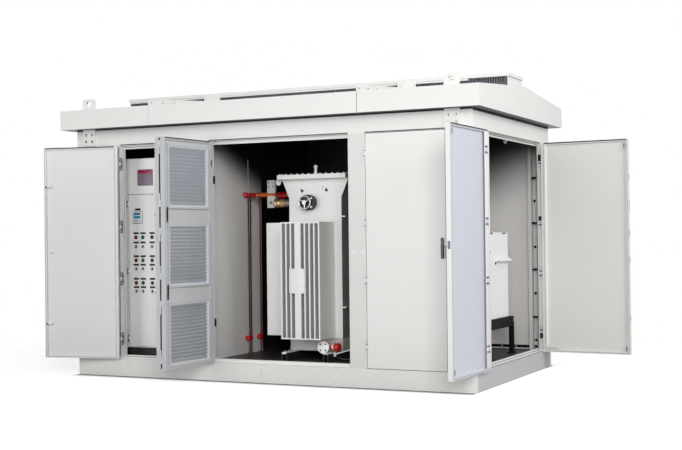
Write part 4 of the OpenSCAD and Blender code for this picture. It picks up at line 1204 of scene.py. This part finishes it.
# %% [markdown]
# The switchboard stands right behind its doorway, so its front shows clearly. Its door has
# eighteen lamps and push buttons in three columns, each under its own label. The lamps have
# dark rings and the buttons bright ones. A picture on the door would be quicker, but it would
# be flat from the side and blurred close up. The labels stay blank.

# %% Lamps and buttons of the switchboard
BOARD = box_mm("board_carcass")[0][1]
DEVICE_X, DEVICE_Z = (522, 609, 726), (1431, 1333, 1188, 1098, 950, 862)
LABEL_UP = 43


def on_board(shape, xz, out=0.0):
    """Copies on the front of the switchboard, out millimetres in front of it."""
    return stand(shape, [(x, BOARD - out, z) for x, z in xz], FRONT)


lamps = [(x, z) for x in DEVICE_X for z in DEVICE_Z[0::2]]
buttons = [(x, z) for x in DEVICE_X for z in DEVICE_Z[1::2]]
labels = [(x + 2, z + LABEL_UP) for x in DEVICE_X for z in DEVICE_Z]
label_pins = [(x + dx, z) for x, z in labels for dx in (-28, 28)]
cap = lathe([(5.5, 0), (5.5, 2.5), (4.5, 3.5), (3, 3.5), (2.5, 2.8)], 20)
piece("board_rings", on_board(hoop(17, 4, 28), lamps, 2), "label_black", "board_door")
piece("board_bright_rings", on_board(hoop(15.5, 2.2, 28), buttons, 2), "wheel_silver", "board_door")
piece("board_button_caps", on_board(cap, buttons, 12.5), "plate_white", "board_door")
piece("board_labels", on_board(pad(66, 20, 2.5, 1.5, 0.6), labels), "label_black", "board_door")
piece("board_label_pins", on_board(screw(2), label_pins, 2.5), "bolt_zinc", "board_door")
tell("lamps and buttons")

# %% [markdown]
# The panel above the door has a display with rows of fields, and the door has a meter with two
# small screens and keys. Both are flat cases, and the fields are thin raised pads, because a
# colour painted by coordinates would need a mask for each.

# %% Display and meter
display_x, display_z = 650, 2060
readings = [(display_x + dx, display_z + dz) for dz in (25, 2, -21, -44, -66) for dx in (-58, 0, 58)]
studs = [(display_x + dx, display_z + dz) for dx in (-88, 88) for dz in (-77, 77)]
piece("display_case", on_board(pad(192, 170, 9, 5, 2.5), [(display_x, display_z)], 3), "display_grey")
head_strip = pad(176, 34, 1.5, 2, 0.5)
piece("display_strip", on_board(head_strip, [(display_x, display_z + 60)], 12), "display_red")
piece("display_rows", on_board(pad(46, 9, 1.5, 2, 0.5), readings, 12), "display_pale")
piece("display_studs", on_board(screw(5), studs, 12), "bolt_zinc")

meter_x, meter_z = 550, 1641
screens = [(meter_x, meter_z + dz) for dz in (36, 2)]
keys = [(meter_x + dx, meter_z - 36) for dx in (-30, -10, 10, 30)]
case = join(pad(118, 122, 16, 7, 4), stand(pad(96, 40, 6, 4, 2), [(0, -34, 16)], UP, BACK))
rim = tube(np.c_[outline(124, 128, 8), np.full(16, 2.0)], 2, 6, loop=True)
piece("meter_case", on_board(case, [(meter_x, meter_z)]), "plate_white", "board_door")
piece("meter_frame", on_board(rim, [(meter_x, meter_z)]), "display_grey", "board_door")
piece("meter_screens", on_board(pad(84, 26, 2.5, 3, 1), screens, 16), "screen_cyan", "board_door")
piece("meter_keys", on_board(lathe([(6, 0), (6, 2), (4.5, 3)], 16), keys, 22), "screen_cyan", "board_door")
meter_label = on_board(pad(70, 22, 2.5, 1.5, 0.6), [(meter_x, meter_z + 84)])
piece("meter_label", meter_label, "label_black", "board_door")
tell("display and meter")

# %% [markdown]
# The board's door hangs on three black hinges, is held by two turn locks and has a bent grip,
# and six screws hold the panel above it. The turn locks are turned and the grip is bent, so
# both come from the helpers as they are.

# %% Locks and screws of the switchboard
hinge_caps = stand(pad(14, 66, 6, 4, 2), [(414, BOARD, z) for z in (1786, 1070, 359)], FRONT)
piece("board_hinge_caps", hinge_caps, "lock_black")
panel_xz = [(x, z) for x in (420, 844, 1268) for z in (1912, 2236)]
piece("board_panel_screws", on_board(screw(5), panel_xz, 3), "bolt_zinc")
piece("board_rivets", on_board(screw(3.5), [(430, z) for z in (2150, 2074, 1990)], 3), "label_black")
turn_lock = lathe([(17, 0), (17, 3), (13, 5), (13, 14), (11, 16)], 24)
piece("board_turn_locks", on_board(turn_lock, [(1236, 1560), (1236, 620)]), "lock_black", "board_door")
grip = tube([(0, -62, 2), (0, -60, 26), (0, 0, 34), (0, 60, 26), (0, 62, 2)], 7, 10, RIGHT)
piece("board_grip", on_board(grip, [(1236, 1090)]), "lock_black", "board_door")
tell("switchboard")

# %% [markdown]
# The transformer's cover is bolted down all round its rim, with a nut under each bolt but those
# of the front row, and the filler neck stands on it under a vented cap. The bolts follow the rim
# as two rows along and two across.

# %% Cover of the transformer
TANK_X, TANK_FRONT = 2512, box_mm("tx_tank")[0][1]
COVER_TOP, COVER_FOOT = 2044, box_mm("tx_cover")[0][2]
across, along = np.linspace(2140, 2860, 12), np.linspace(595, 1795, 19)
cover_rim = [(x, y) for x in across for y in (528, 1862)] + [(x, y) for x in (2133, 2867) for y in along]
behind_neck = [(x, y, COVER_FOOT) for x, y in cover_rim if y > 560]
piece("cover_bolts", stand(bolt(8), [(x, y, COVER_TOP) for x, y in cover_rim], UP, BACK), "tank_paint")
piece("cover_nuts", stand(bolt(8), behind_neck, DOWN, BACK), "tank_paint")
neck = lathe([(22, 0), (22, 10), (18, 12), (18, 20), (15.5, 22)], 20)
vented_cap = lathe([(19, 0), (22, 4), (22, 16), (12, 20), (12, 26), (8, 30)], 6)
breather = join(stand(neck, [(TANK_X, TANK_FRONT, COVER_TOP)], UP, BACK),
                stand(vented_cap, [(TANK_X, TANK_FRONT, 2112)], UP, BACK))
piece("breather_base", breather, "tank_paint")
tell("cover")

# %% [markdown]
# Four ears under the rim lift the whole transformer. Each is an oval ring of round bar on a
# small block, and a stub joins it to the tank's side. The front has two test plugs and a
# sampling valve, a blank rating plate on the fins, and a rounded edge along its foot.

# %% Ears, plugs and plate of the transformer
TANK_SIDES = (2140, 2860)
EAR_DX, EAR_Z, STUB_Z = 60, 1977, 1992
ear = join(tube(np.c_[circle(28) * [22, 26], np.zeros(28)], 8, 10, loop=True), pad(20, 46, 12, 4, 2))
ears = []
for side_x, ear_x in zip(TANK_SIDES, (TANK_SIDES[0] - EAR_DX, TANK_SIDES[1] + EAR_DX)):
    for y in (606, 1784):
        ears += [stand(ear, [(ear_x, y, EAR_Z)], FRONT),
                 bar((min(ear_x, side_x), y, STUB_Z), (max(ear_x, side_x), y, STUB_Z), 8)]
piece("lifting_ears", join(*ears), "tank_paint")

plug = join(lathe([(15, 0), (15, 5), (11, 7), (11, 16), (9, 18)], 6), bar((0, 0, 14), (0, 20, 26), 4))
piece("tank_plugs", stand(plug, [(2356, TANK_FRONT, 1882), (2631, TANK_FRONT, 1884)], FRONT), "tap_black")
sample_valve = join(stand(pad(26, 26, 10, 8, 2), [(2606, TANK_FRONT, 1906)], FRONT),
                    bar((2606, 592, 1906), (2588, 586, 1925), 4))
piece("sample_valve", sample_valve, "wheel_silver")

plate_x, plate_y, plate_z = 2467, box_mm("tx_fins")[0][1], 983
piece("blank_plate", stand(pad(170, 246, 3, 4, 1.2), [(plate_x, plate_y, plate_z)], FRONT), "plate_white")
plate_corners = four(plate_x, plate_y - 3, plate_z, 75, 113)
piece("blank_plate_screws", stand(screw(5), plate_corners, FRONT), "bolt_zinc")
foot_edges = [bar((2205, y, 274), (2795, y, 274), 6) for y in (592, 1798)]
piece("tank_foot_edge", join(*foot_edges), "tank_paint")
rail_bolts = [(x, y, 270) for x in (2270, 2730) for y in (370, 440)]
piece("rail_bolts", stand(bolt(9), rail_bolts, UP, BACK), "bolt_zinc")
piece("rail_noses", stand(pad(46, 18, 7, 8, 3), [(2270, 340, 260)], FRONT), "plate_white")
tell("tank")

# %% [markdown]
# The tap changer is a black drum with ribs behind its handwheel. Its bolts stand on a circle,
# as the drain's do below, so `ring_of` works out their places from angles instead of listing
# coordinates. The hub's cap rides on the wheel and turns with it.

# %% Tap changer
def ring_of(x, y, z, radius, degrees):
    """Places on an upright circle that faces the front, at the given angles from +X."""
    return [(x + radius * math.cos(a), y, z + radius * math.sin(a)) for a in np.radians(degrees)]


wheel_x, wheel_z = 2442, 1761
piece("drum_bolts", stand(bolt(8), ring_of(wheel_x, 530, wheel_z, 68, [38, -42]), FRONT), "wheel_silver")
drum_ribs = stand(hoop(69, 4, 40), [(wheel_x, y, wheel_z) for y in (552, 572, 590)], FRONT)
piece("drum_ribs", drum_ribs, "tap_black")
hub_cap = lathe([(12, 0), (12, 5), (9, 8), (4, 9)], 6)
piece("wheel_hub_cap", stand(hub_cap, [(wheel_x, 466, wheel_z)], FRONT), "wheel_silver", "tap_wheel")
tell("tap changer")

# %% [markdown]
# The drain at the foot ends in a white flange with four bolts. Behind it are the red valve
# with its collars and spindle, a bright ball on a lever, and the short hose that carries the
# last drops to the floor.

# %% Drain
drain_low, drain_high = box_mm("drain_valve")
drain_x, drain_y, drain_z = 2640, 530, 318
flange_y = drain_low[1]
flange_bolts = ring_of(drain_x, flange_y, drain_z, 42, [45, 135, 225, 315])
piece("drain_flange_bolts", stand(bolt(5.5), flange_bolts, FRONT), "tap_black")
piece("drain_flange_face", stand(hoop(20, 3, 28), [(drain_x, flange_y, drain_z)], FRONT), "plate_white")
drain_collar = lathe([(26, 0), (29, 3), (29, 14), (26, 17)], 24)
drain_collars = stand(drain_collar, [(x, drain_y, drain_z) for x in (2672, 2712)], RIGHT)
piece("drain_collars", drain_collars, "plate_white")
spindle = join(bar((2704, drain_y, 300), (2704, drain_y, 258), 8),
               stand(bolt(11), [(drain_high[0], drain_y, drain_z)], RIGHT))
piece("valve_spindle", spindle, "valve_red")
lever_ball = join(stand(ball(26), [(2748, 492, 246)], FRONT), bar((2752, 500, 250), (2935, 506, 302), 6))
piece("drain_ball", lever_ball, "plate_white")
hose = [(2748, 500, 240), (2770, 520, 214), (2820, 540, 200), (2890, 560, 197), (2960, 590, 197)]
piece("drain_hose", tube(hose, 10, 10), "tap_black")
tell("drain")

# %% [markdown]
# Two risers bring the low-voltage current up beside the transformer, and copper links carry
# it across. The front riser ends in a red knob on a neck, with a thin drop rod above it. The
# risers stand on flanges, and each has a collar where its lower knob is fixed.

# %% Risers
RISER_X, RISER_TOP = 1560.5, 1800
LINK_Y, LINK_Z = (900, 1145), 1865
head_knob = join(stand(ball(28), [(1548, 838, 1868)], FRONT),
                 bar((1550, 852, 1868), (1560, 886, 1866), 12))
piece("riser_head_knob", head_knob, "knob_red")
riser_head = lathe([(17, 0), (20, 3), (20, 20), (17, 26)], 20)
piece("riser_head", stand(riser_head, [(1560, y, RISER_TOP) for y in LINK_Y], UP, BACK), "riser_red")
piece("drop_rod", bar((1562, 874, 1846), (1562, 874, 2240), 2.4, 8), "hinge_steel")
floor_flange = lathe([(38, 0), (38, 5), (36, 7), (21, 9), (19, 16)], 28)
piece("riser_feet", stand(floor_flange, [(RISER_X, y, FLOOR) for y in LINK_Y], UP, BACK), "riser_red")
collar = lathe([(17, 0), (22, 3), (22, 30), (17, 33)], 20)
piece("riser_collars", stand(collar, [(RISER_X, y, 336) for y in LINK_Y], UP, BACK), "riser_red")
tell("risers")

# %% [markdown]
# The links have brass rings where their sleeves end, clamps along the bare copper, and a red
# rubber boot on the rear one. The bushing under them is a stack of tapered sheds. All are
# turned forms, so each is one profile. The terminal block is faced with a plate and screws.

# %% Links and bushing
BUSHING_Y, BUSHING_Z = LINK_Y[0], 1772
boot = lathe([(25, 0), (34, 8), (38, 30), (38, 92), (33, 112), (26, 122)], 28)
piece("rear_boot", stand(boot, [(1764, LINK_Y[1], LINK_Z)], RIGHT), "knob_red")
sleeve_ring = lathe([(25, 0), (28, 2), (28, 14), (25, 16)], 28)
piece("sleeve_rings", stand(sleeve_ring, [(SLEEVE_END, y, LINK_Z) for y in LINK_Y], RIGHT), "brass")
clamp = lathe([(24.6, 0), (27.5, 2), (27.5, 9), (24.6, 11)], 28)
piece("link_clamps", stand(clamp, [(x, LINK_Y[0], LINK_Z) for x in (1700, 1752, 1776)], RIGHT), "copper")
sheds = lathe([(47, 0), (54, 5), (54, 12), (45, 26), (46, 40), (50, 45), (48, 54), (38, 74), (42, 86),
               (38, 96), (36, 110)], 32)
piece("bushing_sheds", stand(sheds, [(BUSHING_FROM, BUSHING_Y, BUSHING_Z)], RIGHT), "brass")
tail = lathe([(32, 0), (38, 8), (38, 30), (31, 40), (34, 60), (34, 90), (28, 96)], 28)
piece("bushing_tail", stand(tail, [(BUSHING_TO - 4, BUSHING_Y, BUSHING_Z)], RIGHT), "hinge_steel")

TERMINAL_Y = box_mm("terminal_block")[0][1]
terminal_screws = [(x, TERMINAL_Y, z) for x in (1812, 1859) for z in (1990, 1950)]
piece("terminal_screws", stand(screw(9), terminal_screws, FRONT), "lock_black")
piece("terminal_faces", stand(pad(76, 86, 2.5, 6, 1.2), [(1835.5, TERMINAL_Y, 1969)], FRONT), "block_white")
terminal_mark = join(pad(44, 5, 2, 2, 0.8), stand(pad(18, 22, 2, 6, 0.8), [(0, 12, 0)], UP, BACK))
piece("terminal_mark", stand(terminal_mark, [(1835, TERMINAL_Y, BUSHING_Z)], FRONT), "stand_black")
tell("links")

# %% [markdown]
# A wall of three folded sheets parts the transformer from the high-voltage set. It also
# keeps daylight from the end doorway off the transformer, as on the real substation. It is
# bare sheet, so three pressed plates with ribs are all it needs.

# %% Wall between the rooms
SHEETS, SHEET_PITCH, WALL_X, WALL_FROM = 3, 747, 3228, 75
sheet_ribs = stand(pad(60, 2200, 5, 4, 2), [(x, 0, 24) for x in (-180, 180)], UP, BACK)
sheet = join(pad(744, 2366, 24, 2, 4), sheet_ribs)
sheet_middles = [(WALL_X, WALL_FROM + SHEET_PITCH * (k + 0.5), 1371) for k in range(SHEETS)]
piece("hv_partition", stand(sheet, sheet_middles, RIGHT), "room_paint")
tell("wall")

# %% [markdown]
# The white switchgear of the high-voltage room looks at its doorway in the end wall. Its
# covers are held by two rows of screws, and two small handles, two test sockets and the
# cover of the drive shaft are on its front. `np.linspace` spreads a row of screws evenly.

# %% High-voltage switchgear
CAB_X = 4120.0
handles = stand(pad(110, 13, 9, 4, 3), [(CAB_X, y, 1431) for y in (1268, 1690)], RIGHT)
piece("cabinet_handles", handles, "vent_dark")
seam_screws = [(CAB_X, y, z) for y in np.linspace(1050, 1800, 12) for z in (1066, 1094)]
corner_screws = [(CAB_X, y, z) for y in (1046, 1804) for z in (600, 820, 1190, 1350)]
piece("cabinet_screws", stand(screw(4.5), seam_screws + corner_screws, RIGHT), "bolt_zinc")
test_socket = lathe([(15, 0), (15, 3), (11, 4), (9, 4), (8, 1)], 20)
piece("cabinet_sockets", stand(test_socket, [(CAB_X, 1180, 1296), (CAB_X, 1250, 1240)], RIGHT), "stand_black")
piece("cabinet_shaft_cover", stand(pad(30, 30, 5, 8, 2), [(CAB_X, 1420, 1128)], RIGHT), "stand_black")
tell("switchgear")

# %% [markdown]
# The switchgear stands on a black frame that is bolted together and down to the floor. The
# corner stiffener behind the doorway has round holes and rungs, black bars before the rungs
# stand for their shaded undersides, and a black earth strip runs along the rear wall. The holes
# are shallow black plugs, painted shade for their insides, because cutting them with Boolean
# modifiers would change a CAD node.

# %% Stand, stiffener and earth strip
REAR_WALL = box_mm("rear_wall")[0][1]
STIFFENER_Y = REAR_WALL - 5  # where its plugs and the bolts of the earth strip sit
stand_bolts = [(4165, y, z) for y in (1012, 1842) for z in (520, 545)]
piece("stand_bolts", stand(bolt(7), stand_bolts, RIGHT), "bolt_zinc")
foot = join(pad(84, 84, 8, 6, 2), stand(bolt(7), [(-30, -30, 8), (30, 30, 8)], UP, BACK))
feet = stand(foot, [(x, y, FLOOR) for x in (3472, 4142) for y in (1008, 1842)], UP, BACK)
piece("stand_feet", feet, "stand_black")
hole = lathe([(15, 0), (15, 1.5), (11, 3)], 18)
plugs = stand(hole, [(4266, STIFFENER_Y, z) for z in (283, 783, 1280, 1773)], FRONT)
piece("stiffener_plugs", plugs, "stand_black")
# Black bars in front of the rungs stand for their shaded undersides.
stiffener_rung_shadows = [bar((4250, 2256, z), (4315, 2256, z), 9) for z in (538, 1043, 1538, 2019)]
piece("stiffener_rung_shadows", join(*stiffener_rung_shadows), "stand_black")
piece("earth_strip", stand(pad(760, 30, 5, 2, 1), [(3900, REAR_WALL, 214)], FRONT), "stand_black")
earth_bolts = [(x, STIFFENER_Y, 214) for x in range(3560, 4300, 160)]
piece("earth_bolts", stand(bolt(7), earth_bolts, FRONT), "bolt_zinc")
tell("all rooms")

# %% [markdown]
# The studio. A white backdrop could be a curved sheet behind the kiosk, but such a sheet would
# cast its own light and shade. Here the world itself is white to the camera, and to the rays
# that gloss and glass pass on, and lights everything else with a plain grey of less strength.

# %% Backdrop
scene = bpy.context.scene
scene.view_settings.view_transform = "Standard"


def seen_ray(tree):
    """1 for a ray that the camera sees, straight or by way of gloss or glass."""
    path = tree.nodes.new("ShaderNodeLightPath").outputs
    rays = [path[f"Is {kind} Ray"] for kind in ("Camera", "Glossy", "Transmission")]
    return arithmetic(tree, "MAXIMUM", *rays)


def make_world(light):
    """A white backdrop to the camera, and plain grey light of the given strength."""
    world = bpy.data.worlds.new("studio")
    world.use_nodes = True
    tree = world.node_tree
    background = tree.nodes["Background"]
    background.inputs["Color"].default_value = (1, 1, 1, 1)
    strength = add(tree, "MapRange", Value=seen_ray(tree), To_Min=light, To_Max=1.0)
    tree.links.new(strength, background.inputs["Strength"])
    scene.world = world


make_world(0.30)
print("backdrop ready, view", scene.view_settings.view_transform)

# %% [markdown]
# The floor is pale, passes on less light than it shows, so that the foot of the walls stays a
# little darker than their top, and fades out into the backdrop. Right under the skid a shadow
# is painted on it in dark grey, for the ground there that no lamp reaches.

# %% Floor of the studio
skid_half = -np.array(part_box("base_side_beams")[0])
FLOOR_HALF = 14.0
PASSED_ON, SEEN, SKID_SHADOW_GREY = (0.15, 0.18), 0.93, 0.05
SKID_SHADE_FROM, SKID_SHADE_TO = 0.02, 0.16  # metres out from the skid's sides
FADE_FROM, FADE_TO = 3.4, 5.6  # metres from the middle
FLOOR_GLOW = 0.55


def grey(value):
    """A plain grey in linear light."""
    return (value, value, value, 1)


def make_ground():
    """A flat floor just under the skid. Its colour depends on the ray and on the way to the skid, which gives
    a painted shadow beside it.
    """
    mesh = bpy.data.meshes.new("ground")
    corners = np.array([[-1, -1], [1, -1], [1, 1], [-1, 1]]) * FLOOR_HALF
    mesh.from_pydata(np.c_[corners, np.full(4, -0.001)].tolist(), [], [(0, 1, 2, 3)])
    ground = bpy.data.objects.new("ground", mesh)
    scene.collection.objects.link(ground)

    material, tree, shader, where = start_material("ground", Roughness=0.9)
    noise = add(tree, "TexNoise", Vector=where, Scale=3.0, Detail=3.0)
    passed_on = blend(tree, noise, grey(PASSED_ON[0]), grey(PASSED_ON[1]))
    colour = blend(tree, seen_ray(tree), passed_on, grey(SEEN))
    x, y, _ = split(tree, where)
    past_end = times(tree, minus(tree, size_of(tree, x), float(skid_half[0])), 20.0)
    past_side = minus(tree, size_of(tree, y), float(skid_half[1]))
    clear = add(tree, "MapRange", Value=arithmetic(tree, "MAXIMUM", past_end, past_side),
                From_Min=SKID_SHADE_FROM, From_Max=SKID_SHADE_TO)
    # Dark near the skid: a painted shadow.
    tree.links.new(blend(tree, clear, grey(SKID_SHADOW_GREY), colour), shader.inputs["Base Color"])

    shader.inputs["Emission Color"].default_value = grey(1)
    tree.links.new(times(tree, seen_ray(tree), clear, FLOOR_GLOW), shader.inputs["Emission Strength"])
    distance = add(tree, "VectorMath", _out="Value", _set={"operation": "LENGTH"}, i0=where)
    fade = add(tree, "MapRange", Value=distance, From_Min=FADE_FROM, From_Max=FADE_TO,
               To_Min=1.0, To_Max=0.0)
    tree.links.new(fade, shader.inputs["Alpha"])
    mesh.materials.append(material)


make_ground()
print("floor", 2 * FLOOR_HALF, "m square")

# %% [markdown]
# Three soft lamps: a large key in front, a weak fill from the left, and one beside the end
# doors. Large lamps give soft shadows, as in a studio with white cloths. A lamp shines along
# its own -Z, so its matrix has the way back from its aim as Z.

# %% Lamps
def make_lamp(name, place, aim, size, watts):
    """A square soft lamp at place, turned towards aim."""
    data = bpy.data.lights.new(name, "AREA")
    data.shape, data.size, data.energy = "SQUARE", size, watts
    lamp = bpy.data.objects.new(name, data)
    back = np.array(place, float) - np.array(aim, float)
    back /= np.linalg.norm(back)
    across = np.cross([0, 0, 1], back)
    across /= np.linalg.norm(across)
    turn = np.eye(4)
    turn[:3, 0], turn[:3, 1], turn[:3, 2], turn[:3, 3] = across, np.cross(back, across), back, place
    lamp.matrix_world = Matrix(turn)
    scene.collection.objects.link(lamp)


make_lamp("key", (7.5, -14.0, 5.0), (0, -1.0, 1.2), 6.0, 1230)
make_lamp("fill", (-3.0, -11.0, 2.0), (-0.5, 0, 1.2), 4.0, 235)
make_lamp("side", (11.0, -3.5, 5.0), (2.2, 0, 1.5), 5.0, 560)
print(len(bpy.data.lights), "lamps")
